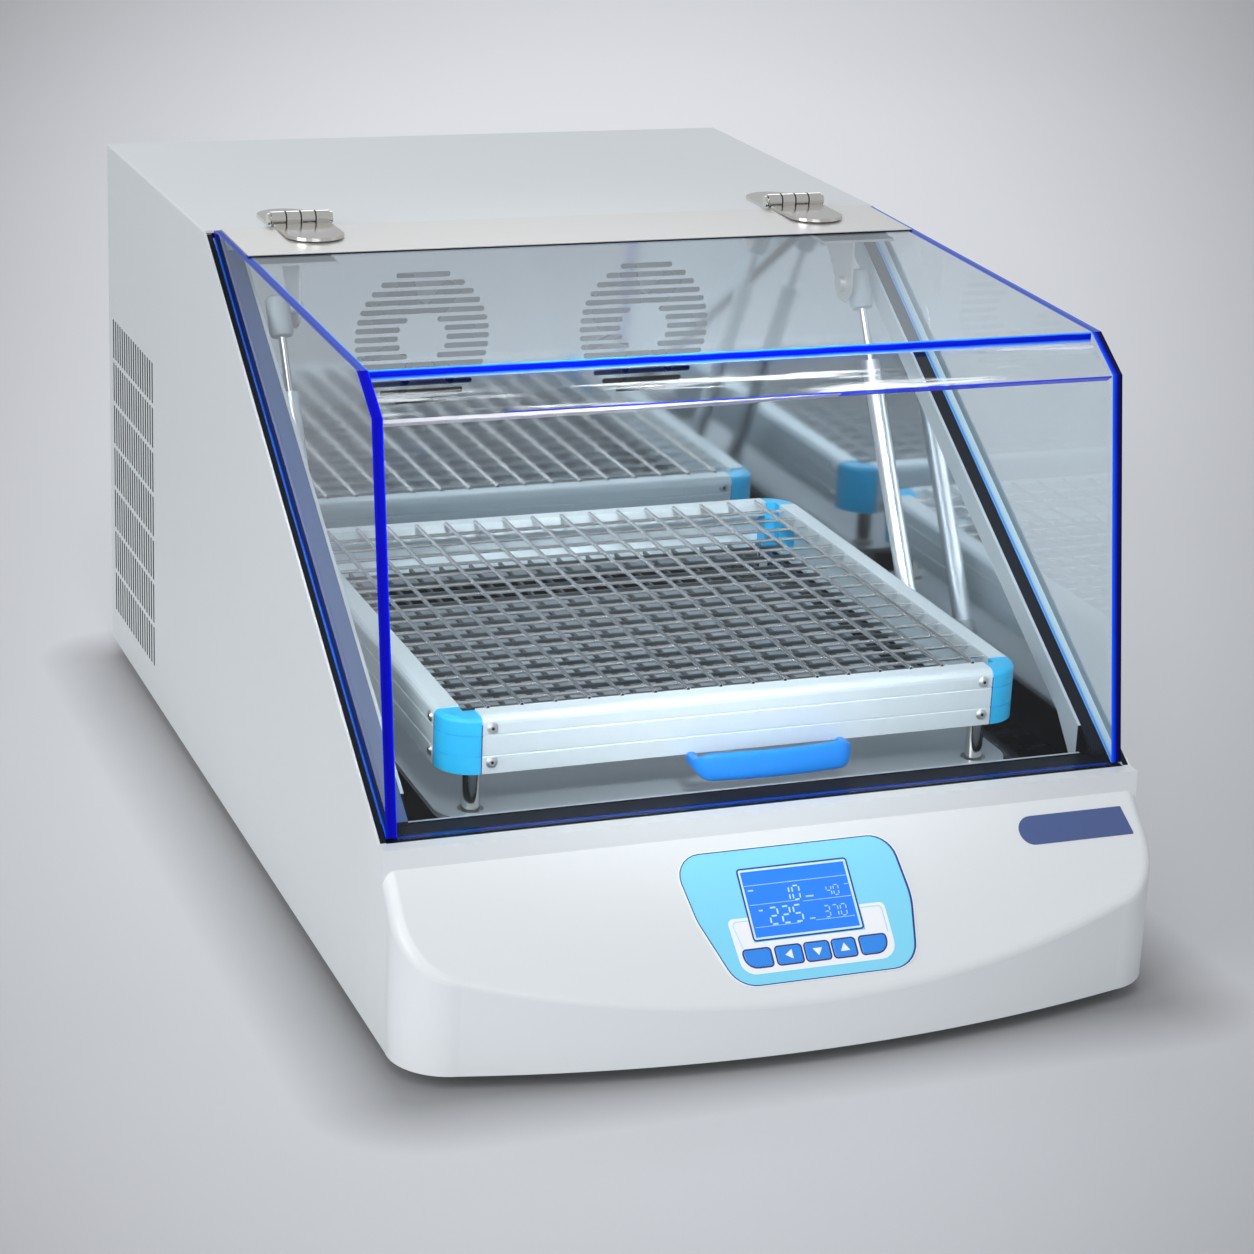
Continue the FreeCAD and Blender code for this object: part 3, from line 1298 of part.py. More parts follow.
def tray_handle():
    """Bow pull on the front rail: two feet and a bar bowed forwards."""
    face = TRAY_Y - TRAY_HALF
    z0 = dz(HANDLE_Z) - HANDLE_BAR_H / 2
    outer = [vec(HANDLE_X - HANDLE_HALF, face, z0),
             vec(HANDLE_X, face - HANDLE_OUT, z0), vec(HANDLE_X + HANDLE_HALF, face, z0)]
    reach = HANDLE_HALF - HANDLE_FOOT
    inner = [vec(HANDLE_X - reach, face, z0),
             vec(HANDLE_X, face - HANDLE_OUT + HANDLE_BAR_T, z0), vec(HANDLE_X + reach, face, z0)]
    edges = [Part.Arc(outer[0], outer[1], outer[2]).toShape(),
             Part.LineSegment(outer[2], inner[2]).toShape(),
             Part.Arc(inner[2], inner[1], inner[0]).toShape(),
             Part.LineSegment(inner[0], outer[0]).toShape()]
    bow = Part.Face(Part.Wire(edges)).extrude(vec(0, 0, HANDLE_BAR_H))
    grip = [e for e in bow.Edges if e.Curve.TypeId == "Part::GeomCircle"]
    bow = bow.makeChamfer(HANDLE_CHAMFER, grip)
    front = box(HANDLE_X - HANDLE_HALF, HANDLE_X + HANDLE_HALF, face - 2 * HANDLE_OUT, face,
                z0, z0 + HANDLE_BAR_H)
    ends = [e for e in front.Edges if abs(e.tangentAt(e.FirstParameter).y) > 0.9]
    return bow.common(front.makeFillet(HANDLE_END_R, ends))


# Refrigeration, heating and electrics behind the chamber

def compressor():
    x = COMPRESSOR_X
    y = BACK_Y - COMPRESSOR_BACK
    z0 = BASE_Z + SHEET
    half_x, half_y, thick = COMPRESSOR_FEET
    feet_plate = box(x - half_x, x + half_x, y - half_y, y + half_y, z0, z0 + thick)
    can = disc_z(x, y, z0 + thick, z0 + COMPRESSOR_H, COMPRESSOR_R)
    dome = Part.makeCone(COMPRESSOR_R, DOME_R, DOME_H, vec(x, y, z0 + COMPRESSOR_H))
    stub = rod(vec(x + COMPRESSOR_R - STUB_R, y, z0 + STUB_H),
               vec(x + COMPRESSOR_R + STUB_L, y, z0 + STUB_H), STUB_R)
    return join([feet_plate, can, dome, stub])


def condenser_coil():
    """Finned block behind the left vents, its core standing on the base."""
    y1 = BACK_Y - COIL_NEAR_BACK
    y0 = y1 - COIL_L
    z0 = BASE_Z + COIL_LOW
    z1 = z0 + COIL_H
    core = box(COIL_X - COIL_CORE / 2, COIL_X + COIL_CORE / 2, y0, y1, BASE_Z + SHEET, z1)
    fins = []
    for i in range(COIL_FINS):
        z = z0 + (COIL_H - FIN_T) * i / (COIL_FINS - 1)
        fins.append(box(COIL_X - COIL_FIN / 2, COIL_X + COIL_FIN / 2, y0, y1, z, z + FIN_T))
    return join([core] + fins)


def condenser_shroud():
    """Fan plate beside the coil, with a ring, an arm across it and the motor."""
    x = SHROUD_X
    y1 = BACK_Y - COIL_NEAR_BACK
    top = BASE_Z + COIL_LOW + COIL_H
    plate = box(x, x + SHEET, y1 - COIL_L, y1, BASE_Z + SHEET, top)
    bore = CFAN_R + CFAN_TIP_GAP
    ring = rod(vec(x, CFAN_Y, CFAN_Z), vec(x + SHROUD_RING, CFAN_Y, CFAN_Z), bore + SHEET)
    hole = rod(vec(x - 1, CFAN_Y, CFAN_Z), vec(x + SHROUD_RING + 1, CFAN_Y, CFAN_Z), bore)
    w = CFAN_ARM / 2
    reach = bore + SHEET + CFAN_ARM_T
    arm_x = x + CFAN_ARM_X
    far = arm_x + CFAN_ARM_T
    arms = [box(arm_x, far, CFAN_Y - w, CFAN_Y + w, CFAN_Z - reach, CFAN_Z + reach)]
    for z in (CFAN_Z - reach, CFAN_Z + reach - CFAN_ARM_T):
        arms.append(box(x, far, CFAN_Y - w, CFAN_Y + w, z, z + CFAN_ARM_T))
    motor = rod(vec(far, CFAN_Y, CFAN_Z), vec(far + FAN_MOTOR_L, CFAN_Y, CFAN_Z), CFAN_MOTOR_R)
    return join([plate.fuse(ring).cut(hole)] + arms + [motor])


def condenser_fan():
    centre = vec(0, 0, 0)
    hub = Part.makeCylinder(CFAN_HUB_R, CFAN_DEPTH, centre, vec(0, 1, 0))
    reach = CFAN_ARM_X - CFAN_SEAT - RUN_GAP
    shaft = Part.makeCylinder(FAN_SHAFT_R, reach, centre, vec(0, 1, 0))
    solid = join([hub, shaft] + blades(centre, CFAN_R, CFAN_HUB_R, CFAN_DEPTH, CFAN_BLADES))
    solid.rotate(centre, vec(0, 0, 1), -90)
    solid.translate(vec(SHROUD_X + CFAN_SEAT, CFAN_Y, CFAN_Z))
    return solid


def evaporator_coil():
    """Finned block in the duct behind the back wall, under the two fans."""
    y0 = dy(CH_BACK) + CH_WALL + EVAP_FRONT_GAP
    z1 = dz(FAN_H - EVAP_UNDER_FAN)
    z0 = z1 - EVAP_H
    core = box(-EVAP_HALF, EVAP_HALF, PLENUM_Y - EVAP_CORE, PLENUM_Y, z0, z1)
    count = int(2 * (EVAP_HALF - EVAP_FIN_OVER) / EVAP_FIN_PITCH) + 1
    fins = []
    for i in range(count):
        x = (i - (count - 1) / 2) * EVAP_FIN_PITCH
        fins.append(box(x - FIN_T / 2, x + FIN_T / 2, y0, PLENUM_Y,
                        z0 - EVAP_FIN_OVER, z1 + EVAP_FIN_OVER))
    return join([core] + fins)


def heater_element():
    """Tubular heater: one hairpin in front of the fan motors' panel, drawn six-sided."""
    y = dy(CH_BACK) + CH_WALL + HEATER_Y
    z = dz(FAN_H - HEATER_UNDER_FAN)
    end = HEATER_HALF + HEATER_R
    section = hexagon(HEATER_R)
    rods = [prism([vec(-end, y + a, z + row + b) for a, b in section], vec(2 * end, 0, 0))
            for row in (-HEATER_ROW, HEATER_ROW)]
    legs = [prism([vec(-HEATER_HALF + a, y, z + row + b) for a, b in section],
                  vec(0, PLENUM_Y - y, 0)) for row in (-HEATER_ROW, HEATER_ROW)]
    turn = box(HEATER_HALF - HEATER_R, HEATER_HALF + HEATER_R, y - HEATER_R, y + HEATER_R,
               z - HEATER_ROW, z + HEATER_ROW)
    return join(rods + legs + [turn])


def power_supply():
    z0 = BASE_Z + SHEET
    y1 = BACK_Y - SUPPLY_BACK
    x1 = HALF_W - SUPPLY_INSET
    x0 = x1 - SUPPLY_W
    z1 = z0 + SUPPLY_STAND
    case = box(x0, x1, y1 - SUPPLY_L, y1, z1, z1 + SUPPLY_H)
    stand = [box(x, x + SHEET, y1 - SUPPLY_L, y1, z0, z1) for x in (x0 + SHEET, x1 - 2 * SHEET)]
    return join([case] + stand)


def build():
    save("base_pan", [base_pan()])
    save("rubber_feet", feet())
    save("outer_cover", both_sides(side_panel()) + [top_panel()])
    save("rear_panel", [rear_panel()])
    save("front_fascia", [front_fascia()])
    save("control_overlay", [control_overlay()])
    save("display_window", [display_window()])
    save("control_board", [control_board()])
    for index in range(len(KEY_X)):
        save("key_" + str(index + 1), [key(index)])
    save("mains_inlet", [mains_inlet()])
    save("power_rocker", [power_rocker()])
    save("chamber_floor", chamber_floor())
    save("chamber_side_walls", both_sides(chamber_side_wall()))
    save("chamber_back_wall", [chamber_back_wall()])
    save("plenum_panel", [plenum_panel()])
    save("opening_lip", opening_lip())
    save("lid_gasket", lid_gasket())
    save("fan_motors", fan_motors())
    save("fan_rotor_left", [fan_rotor(-FAN_X)])
    save("fan_rotor_right", [fan_rotor(FAN_X)])
    save("lid_top_sheet", [lid_top()])
    save("lid_front_sheet", [lid_front()])
    save("lid_side_sheets", both_sides(lid_side()))
    save("lid_top_strip", [lid_strip()])
    save("hinge_leaves_body", [hinge_leaf(x, 1) for x in (-HINGE_X, HINGE_X)])
    save("hinge_leaves_lid", [hinge_leaf(x, -1) for x in (-HINGE_X, HINGE_X)])
    save("hinge_pins", [hinge_pin(x) for x in (-HINGE_X, HINGE_X)])
    save("strut_brackets", both_sides(strut_bracket()))
    save("strut_cylinder_right", [strut_cylinder()])
    save("strut_cylinder_left", [mirror_x(strut_cylinder())])
    save("strut_rod_right", [strut_rod()])
    save("strut_rod_left", [mirror_x(strut_rod())])
    save("drive_frame", [drive_frame()])
    save("spindle_bearings", spindle_bearings())
    save("crank_spindle", [crank_spindle()])
    save("flywheel_pulley", [flywheel_pulley()])
    save("drive_motor", [drive_motor()])
    save("motor_pulley", [motor_pulley()])
    save("drive_belt", [drive_belt()])
    for index in range(len(IDLERS)):
        save("idler_crank_" + str(index + 1), [idler_crank(index)])
    save("platform_plate", [platform_plate()])
    save("tray_rails", tray_rails())
    save("tray_corners", tray_corners())
    save("tray_springs", tray_springs())
    save("tray_mesh", tray_mesh())
    save("tray_posts", tray_posts())
    save("tray_handle", [tray_handle()])
    save("compressor", [compressor()])
    save("condenser_coil", [condenser_coil()])
    save("condenser_shroud", [condenser_shroud()])
    save("condenser_fan", [condenser_fan()])
    save("evaporator_coil", [evaporator_coil()])
    save("heater_element", [heater_element()])
    save("power_supply", [power_supply()])


build()
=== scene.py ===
"""Looks of a bench shaking incubator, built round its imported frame. Metres, Z up."""
import json
import math

import bmesh
import bpy
from mathutils import Matrix, Vector


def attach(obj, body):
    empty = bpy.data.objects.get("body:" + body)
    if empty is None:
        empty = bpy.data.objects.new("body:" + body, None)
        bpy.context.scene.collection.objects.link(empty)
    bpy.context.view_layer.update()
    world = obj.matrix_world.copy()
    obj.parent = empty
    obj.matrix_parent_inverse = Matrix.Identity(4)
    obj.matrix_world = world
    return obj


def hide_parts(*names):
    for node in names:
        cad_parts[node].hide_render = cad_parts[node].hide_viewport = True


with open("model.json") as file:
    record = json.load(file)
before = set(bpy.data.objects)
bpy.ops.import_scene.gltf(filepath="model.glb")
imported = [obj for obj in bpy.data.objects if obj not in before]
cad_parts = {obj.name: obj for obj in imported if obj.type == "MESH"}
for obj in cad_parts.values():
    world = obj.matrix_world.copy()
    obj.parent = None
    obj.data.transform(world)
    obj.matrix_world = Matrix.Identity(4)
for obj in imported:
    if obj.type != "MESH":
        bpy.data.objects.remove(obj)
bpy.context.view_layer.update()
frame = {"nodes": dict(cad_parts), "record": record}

NODES = frame["nodes"]

# Camera, fitted to the photograph's view
CAMERA_PLACE = Vector((-0.872, -2.315, 1.018))
CAMERA_FORWARD = Vector((0.344, 0.880, -0.327))
CAMERA_RIGHT = Vector((0.936, -0.351, 0.041))
SENSOR = 36.0
LENS = 92.24

# Sizes that the added pieces share with the frame
MM = 0.001
DECK_Y = -0.393
CREASE_Z = 0.142
SLOPE = math.radians(44.7)
LID_HALF = 0.2835
SHEET_T = 0.008
TOP_SHEET_LOW = 0.4575
FOOT_FRONT = DECK_Y + 0.015


# Node-tree helpers

class Tree:
    """Short names for building one material's nodes."""

    def __init__(self, name):
        self.material = bpy.data.materials.new(name)
        self.material.use_nodes = True
        self.tree = self.material.node_tree
        self.tree.nodes.clear()
        self.output = self.add("ShaderNodeOutputMaterial")

    def add(self, kind, **values):
        node = self.tree.nodes.new(kind)
        for key, value in values.items():
            setattr(node, key, value)
        return node

    def link(self, source, target):
        self.tree.links.new(source, target)

    def place(self, scale=(1, 1, 1)):
        """Object coordinates, stretched by scale."""
        where = self.add("ShaderNodeTexCoord")
        mapping = self.add("ShaderNodeMapping")
        mapping.inputs["Scale"].default_value = scale
        self.link(where.outputs["Object"], mapping.inputs["Vector"])
        return mapping.outputs["Vector"]

    def noise(self, vector, scale, detail=3.0, roughness=0.55):
        node = self.add("ShaderNodeTexNoise")
        node.inputs["Scale"].default_value = scale
        node.inputs["Detail"].default_value = detail
        node.inputs["Roughness"].default_value = roughness
        self.link(vector, node.inputs["Vector"])
        return node.outputs["Fac"]

    def span(self, value, low, high, start=0.0, end=1.0):
        """Map a value from start..end to low..high."""
        node = self.add("ShaderNodeMapRange")
        node.inputs["From Min"].default_value = start
        node.inputs["From Max"].default_value = end
        node.inputs["To Min"].default_value = low
        node.inputs["To Max"].default_value = high
        self.link(value, node.inputs["Value"])
        return node.outputs["Result"]

    def math(self, operation, first, second=0.0):
        node = self.add("ShaderNodeMath", operation=operation)
        for socket, value in zip(node.inputs, (first, second)):
            if isinstance(value, (int, float)):
                socket.default_value = value
            else:
                self.link(value, socket)
        return node.outputs["Value"]

    def blend(self, factor, first, second):
        """Colour between first and second."""
        node = self.add("ShaderNodeMix", data_type="RGBA")
        self.link(factor, node.inputs["Factor"])
        for socket, value in zip((node.inputs[6], node.inputs[7]), (first, second)):
            if isinstance(value, (tuple, list)):
                socket.default_value = (*value[:3], 1)
            else:
                self.link(value, socket)
        return node.outputs[2]

    def bump(self, height, strength, distance):
        node = self.add("ShaderNodeBump")
        node.inputs["Strength"].default_value = strength
        node.inputs["Distance"].default_value = distance
        self.link(height, node.inputs["Height"])
        return node.outputs["Normal"]

    def principled(self, colour, roughness, metallic=0.0, normal=None, **sockets):
        shader = self.add("ShaderNodeBsdfPrincipled")
        for name, value in (("Base Color", colour), ("Roughness", roughness)):
            if isinstance(value, (tuple, list)):
                shader.inputs[name].default_value = (*value[:3], 1)
            elif isinstance(value, (int, float)):
                shader.inputs[name].default_value = value
            else:
                self.link(value, shader.inputs[name])
        shader.inputs["Metallic"].default_value = metallic
        for name, value in sockets.items():
            shader.inputs[name.replace("_", " ")].default_value = value
        if normal is not None:
            self.link(normal, shader.inputs["Normal"])
        return shader

    def finish(self, shader):
        self.link(shader.outputs[0], self.output.inputs["Surface"])
        return self.material


def srgb(red, green, blue):
    """Linear colour of a display value out of 255."""
    return tuple((c / 255 / 12.92) if c <= 10 else ((c / 255 + 0.055) / 1.055) ** 2.4
                 for c in (red, green, blue))


def shade(colour, factor):
    """The colour made lighter or darker, kept below white."""
    return tuple(min(1.0, c * factor) for c in colour[:3])


def coated(name, colour, roughness, grain=900.0, grain_depth=0.00002, spread=0.03, **sockets):
    """Paint, moulding or rubber: fine orange peel, faint cloudiness in colour and gloss."""
    t = Tree(name)
    at = t.place()
    cloud = t.noise(at, 9.0, 4.0)
    fine = t.noise(at, grain, 2.0)
    tint = t.blend(cloud, shade(colour, 1 - spread), shade(colour, 1 + spread))
    rough = t.span(t.noise(at, 40.0, 3.0), roughness - 0.05, roughness + 0.05)
    normal = t.bump(fine, 0.35, grain_depth)
    return t.finish(t.principled(tint, rough, normal=normal, **sockets))


def metal(name, colour, roughness, along="x", streak=260.0, depth=0.00001, spread=0.06, metallic=1.0):
    """Metal with a directional grain along one axis."""
    t = Tree(name)
    stretch = {"x": (0.04, 1, 1), "y": (1, 0.04, 1), "z": (1, 1, 0.04), "none": (1, 1, 1)}[along]
    at = t.place(stretch)
    grain = t.noise(at, streak, 3.0, 0.6)
    cloud = t.noise(t.place(), 12.0, 3.0)
    tint = t.blend(t.math("MULTIPLY", grain, cloud), shade(colour, 1 - spread), shade(colour, 1 + spread))
    rough = t.span(grain, roughness * 0.8, roughness * 1.25)
    normal = t.bump(grain, 0.25, depth)
    return t.finish(t.principled(tint, rough, metallic=metallic, normal=normal))


# Materials of the frame's own nodes

PALE = (0.70, 0.735, 0.755)


def clear_sheet(name="clear_acrylic", painted_sheen=0.0, tint=(0.74, 0.86, 0.92), painted_streaks=False):
    """Clear acrylic: seen through, reflecting on its outward faces, with a pale painted reflection mixed in
    as a veil, or as streaks of painted highlight.
    """
    t = Tree(name)
    fresnel = t.add("ShaderNodeFresnel")
    fresnel.inputs["IOR"].default_value = 1.49
    facing = t.add("ShaderNodeNewGeometry")
    front = t.math("SUBTRACT", 1.0, facing.outputs["Backfacing"])
    amount = t.math("MULTIPLY", t.span(fresnel.outputs[0], 0.0, 0.95), front)
    through = t.add("ShaderNodeBsdfTransparent")
    through.inputs["Color"].default_value = (0.976, 0.988, 0.994, 1)
    mirror = t.add("ShaderNodeBsdfGlossy")
    mirror.inputs["Roughness"].default_value = 0.02
    mirror.inputs["Color"].default_value = (0.96, 0.98, 1, 1)
    mix = t.add("ShaderNodeMixShader")
    t.link(amount, mix.inputs["Fac"])
    t.link(through.outputs[0], mix.inputs[1])
    t.link(mirror.outputs[0], mix.inputs[2])
    if not painted_sheen:
        return t.finish(mix)
    # The veil mixes a lit pale colour over the sheet: a painted reflection.
    sheen_mix = t.add("ShaderNodeMixShader")
    if painted_streaks:
        # In streaks it is a painted highlight along the bend.
        streak_highlights = t.noise(t.place((5, 90, 90)), 1.0, 3.0, 0.6)
        t.link(t.span(streak_highlights, 0.0, painted_sheen, 0.52, 0.66), sheen_mix.inputs["Fac"])
    else:
        sheen_mix.inputs["Fac"].default_value = painted_sheen
    t.link(mix.outputs[0], sheen_mix.inputs[1])
    t.link(t.principled(tint, 0.3).outputs[0], sheen_mix.inputs[2])
    return t.finish(sheen_mix)


def glowing_edge(name, axis, start, end, left, right, strength=0.35):
    """Light-piping cut edge, drawn as painted light: colour stops across the edge paint its bright and dark
    bands, one list per side of the machine, and it glows with painted emission.
    """
    t = Tree(name)
    where = t.add("ShaderNodeTexCoord")
    split = t.add("ShaderNodeSeparateXYZ")
    t.link(where.outputs["Object"], split.inputs[0])
    across = split.outputs["XYZ".index(axis)]
    if axis == "X":
        across = t.math("ABSOLUTE", across)
    wave = t.span(t.noise(t.place((30, 30, 30)), 1.0, 2.0), -0.07, 0.07)
    across = t.math("ADD", t.span(across, 0.0, 1.0, start, end), wave)
    ramps = []
    for stops in (left, right):
        ramp = t.add("ShaderNodeValToRGB")
        elements = ramp.color_ramp.elements
        for place, colour in stops[2:]:
            elements.new(place)
        for element, (place, colour) in zip(elements, stops):
            element.position = place
            element.color = (*srgb(*colour), 1)
        t.link(across, ramp.inputs["Fac"])
        ramps.append(ramp.outputs["Color"])
    side = t.span(split.outputs["X"], 0.0, 1.0, -0.2, 0.2)
    colour = t.blend(side, ramps[0], ramps[1])
    shader = t.principled(colour, 0.12, Specular_IOR_Level=0.15)
    # Painted glow: the edge emits its own colour.
    t.link(colour, shader.inputs["Emission Color"])
    shader.inputs["Emission Strength"].default_value = strength
    return t.finish(shader)


def plain(name, colour, roughness=0.45, glow=0.0):
    """Printed ink, moulded detail, or a flat patch of painted shade, sheen or glow, with faint wear."""
    t = Tree(name)
    tint = t.blend(t.noise(t.place(), 60.0), shade(colour, 0.97), shade(colour, 1.03))
    shader = t.principled(tint, t.span(t.noise(t.place(), 300.0), roughness - 0.05, roughness + 0.05))
    if glow:
        t.link(tint, shader.inputs["Emission Color"])
        shader.inputs["Emission Strength"].default_value = glow
    return t.finish(shader)


def mirror_wall():
    """Polished stainless sheet: sharp, slightly wavy reflections."""
    t = Tree("mirror_steel")
    wave = t.noise(t.place(), 5.0, 1.0)
    grain = t.noise(t.place((1, 0.05, 1)), 500.0, 2.0)
    rough = t.span(grain, 0.05, 0.11)
    tint = t.blend(t.noise(t.place(), 8.0), (0.80, 0.84, 0.87), (0.86, 0.90, 0.93))
    return t.finish(t.principled(tint, rough, metallic=1.0, normal=t.bump(wave, 0.2, 0.0006)))


def body_materials(m):
    """Paint, plastics, steel and aluminium of the cabinet, the tray and the machine room."""
    m["painted_steel"] = coated("painted_steel", PALE, 0.42, 1400.0, 0.00003, 0.012)
    m["rear_steel"] = coated("rear_steel", shade(PALE, 0.97), 0.45, 1400.0, 0.00003, 0.012)
    m["fascia_plastic"] = coated("fascia_plastic", shade(PALE, 1.04), 0.33, 700.0, 0.00002, 0.01,
                                 Coat_Weight=0.15, Coat_Roughness=0.2)
    m["black_rubber"] = coated("black_rubber", (0.0025, 0.005, 0.014), 0.5, 500.0, 0.00008, 0.2,
                               Specular_IOR_Level=0.2)
    m["mirror_steel"] = mirror_wall()
    m["dark_floor"] = coated("dark_floor", (0.006, 0.010, 0.018), 0.1, 300.0, 0.00002, 0.25)
    m["grey_trim"] = metal("grey_trim", (0.62, 0.70, 0.75), 0.35, "y", spread=0.02, metallic=0.2)
    m["hinge_steel"] = metal("hinge_steel", (0.82, 0.80, 0.76), 0.14, "x")
    m["strip_steel"] = metal("strip_steel", (0.70, 0.695, 0.68), 0.32, "x", 420.0, 0.000002, 0.015, 0.6)
    m["strut_tube"] = metal("strut_tube", (0.74, 0.79, 0.83), 0.3, "none", 600.0, metallic=0.6)
    m["strut_rod"] = metal("strut_rod", (0.88, 0.88, 0.90), 0.12, "none", 600.0)
    m["tray_aluminium"] = metal("tray_aluminium", (0.80, 0.90, 0.94), 0.4, "x", 700.0, 0.000004, 0.02, 0.25)
    m["plate_aluminium"] = metal("plate_aluminium", (0.60, 0.66, 0.70), 0.3, "x", 500.0, 0.000004, 0.03, 0.5)
    m["wire_steel"] = metal("wire_steel", (0.84, 0.84, 0.84), 0.16, "none", 900.0)
    m["blue_plastic"] = coated("blue_plastic", (0.025, 0.56, 1.0), 0.3, 500.0, 0.00002, 0.02,
                               Coat_Weight=0.2, Coat_Roughness=0.12)
    m["handle_plastic"] = coated("handle_plastic", (0.012, 0.30, 1.0), 0.3, 500.0, 0.00002, 0.02,
                                 Coat_Weight=0.2, Coat_Roughness=0.12)
    m["panel_film"] = coated("panel_film", (0.235, 0.70, 0.94), 0.38, 1500.0, 0.00001, 0.01)
    m["display_blue"] = plain("display_blue", srgb(42, 128, 244), 0.2, 0.12)
    m["key_blue"] = coated("key_blue", srgb(46, 140, 238), 0.3, 600.0, 0.00002, 0.03, Coat_Weight=0.2)
    m["board_green"] = coated("board_green", (0.02, 0.12, 0.04), 0.4)
    m["black_plastic"] = coated("black_plastic", (0.018, 0.018, 0.020), 0.4, 600.0, 0.00005, 0.1)
    m["zinc_steel"] = metal("zinc_steel", (0.50, 0.51, 0.51), 0.38, "none", 60.0)
    m["dark_steel"] = coated("dark_steel", (0.02, 0.02, 0.022), 0.3)
    m["belt_rubber"] = coated("belt_rubber", (0.012, 0.012, 0.012), 0.7)
    m["fin_aluminium"] = metal("fin_aluminium", (0.66, 0.67, 0.68), 0.35, "z")
    # Dark steel for the floor grid under the springs: its darkness is painted shade.
    m["grid_steel"] = metal("grid_steel", (0.20, 0.22, 0.23), 0.3, "none", 500.0)
    m["grey_plastic"] = coated("grey_plastic", srgb(176, 186, 192), 0.35)
    m["rivet_aluminium"] = metal("rivet_aluminium", (0.88, 0.90, 0.92), 0.3, "none", 400.0)


def lid_materials(m):
    """Clear sheets with painted reflection veils, strongest on the right sheet, and their cut edges with
    colour stops (place, display colour) across the edge; the stops paint the edges' light and shade, with
    their own lists for the right side, and the edges glow as painted light.
    """
    inner, outer = LID_HALF - SHEET_T, LID_HALF
    m["clear_acrylic"] = clear_sheet()
    # Painted reflection veils on the top and right sheets, and painted highlight streaks on the bend.
    m["clear_top"] = clear_sheet("clear_top", 0.16, (0.62, 0.76, 0.86))
    m["clear_right"] = clear_sheet("clear_right", 0.42, (0.70, 0.84, 0.90))
    m["clear_streak_highlights"] = clear_sheet("clear_streak_highlights", 0.65, (0.85, 0.90, 0.94), True)
    # Edge stops paint refracted light and shade, with separate lists for the right side.
    deep = [(0.0, (10, 60, 225)), (0.12, (0, 0, 170)), (0.7, (0, 0, 135)), (1.0, (0, 15, 170))]
    dark = [(0.0, (10, 90, 235)), (0.3, (0, 40, 200)), (0.55, (0, 0, 95)), (0.9, (0, 0, 40))]
    m["edge_deep"] = glowing_edge("edge_deep", "X", inner, outer, deep, dark, 0.3)
    low = [(0.0, (64, 88, 138)), (0.35, (24, 42, 96)), (0.8, (8, 24, 82)), (0.93, (0, 95, 225))]
    low_edge_highlight = [(0.0, (110, 180, 245)), (0.18, (60, 130, 215)), (0.4, (165, 196, 214)), (1.0, (188, 210, 220))]
    m["edge_low"] = glowing_edge("edge_low", "X", inner, outer, low, low_edge_highlight, 0.3)
    bright = [(0.0, (60, 150, 235)), (0.15, (0, 46, 168)), (0.5, (0, 54, 172)), (0.75, (4, 30, 98)),
              (1.0, (10, 86, 200))]
    thin = [(0.0, (40, 80, 175)), (0.3, (15, 50, 160)), (0.6, (20, 65, 180)), (1.0, (60, 100, 190))]
    m["edge_top"] = glowing_edge("edge_top", "X", inner, outer, bright, thin, 0.3)
    seam = [(0.0, (135, 160, 180)), (0.22, (20, 100, 240)), (0.36, (0, 10, 165)), (0.80, (0, 20, 185)),
            (0.93, (60, 150, 245))]
    m["edge_front"] = glowing_edge("edge_front", "Z", TOP_SHEET_LOW, TOP_SHEET_LOW + SHEET_T, seam, seam)
    foot = [(0.0, (0, 8, 30)), (0.35, (0, 30, 105)), (0.55, (0, 60, 165)), (0.8, (0, 10, 50))]
    m["edge_foot"] = glowing_edge("edge_foot", "Y", FOOT_FRONT, FOOT_FRONT + 0.0085, foot, foot, 0.2)
    # The joint's blue line glows as painted light, and its pale line is a painted highlight veil.
    m["joint_blue"] = plain("joint_blue", srgb(0, 35, 205), 0.2, 0.3)
    m["joint_pale"] = clear_sheet("joint_pale", 0.6, (0.80, 0.78, 0.84))


def print_materials(m):
    """Inks, display segments, the flat colours of seals, a painted sheen on the gasket, and painted shade in
    slots, gaps and holes.
    """
    m["vent_shadow"] = plain("vent_shadow", srgb(66, 73, 77), 0.6)
    # Painted sheen on the black gasket, seen through the clear sheets.
    m["gasket_sheen"] = plain("gasket_sheen", srgb(72, 100, 150), 0.5)
    m["white_print"] = plain("white_print", srgb(243, 246, 250))
    m["navy_print"] = plain("navy_print", srgb(10, 56, 138))
    m["cyan_print"] = plain("cyan_print", srgb(170, 228, 250))
    m["ice_print"] = plain("ice_print", srgb(205, 238, 252))
    m["pale_segment"] = plain("pale_segment", srgb(165, 205, 245), 0.3, 0.1)
    m["green_segment"] = plain("green_segment", srgb(190, 225, 190), 0.3, 0.15)
    m["badge_slate"] = plain("badge_slate", srgb(74, 92, 142), 0.35)
    # Painted shade inside holes, hollow wire ends and the gaps between hinge knuckles.
    m["hole_shade"] = plain("hole_shade", (0.004, 0.004, 0.006), 0.6)


def make_materials():
    m = {}
    body_materials(m)
    lid_materials(m)
    print_materials(m)
    return m


def dress_frame(materials):
    """Every node of the frame gets the material of its slot in the record."""
    slots = {s["node"]: s["material_slot"] for s in frame["record"]["subparts"]}
    for name, node in NODES.items():
        node.data.materials.clear()
        node.data.materials.append(materials[slots[name]])
    NODES["tray_handle"].data.materials[0] = materials["handle_plastic"]
    # The floor grid is darkened: painted shade under the springs.
    NODES["tray_mesh"].data.materials[0] = materials["grid_steel"]


# Mesh helpers

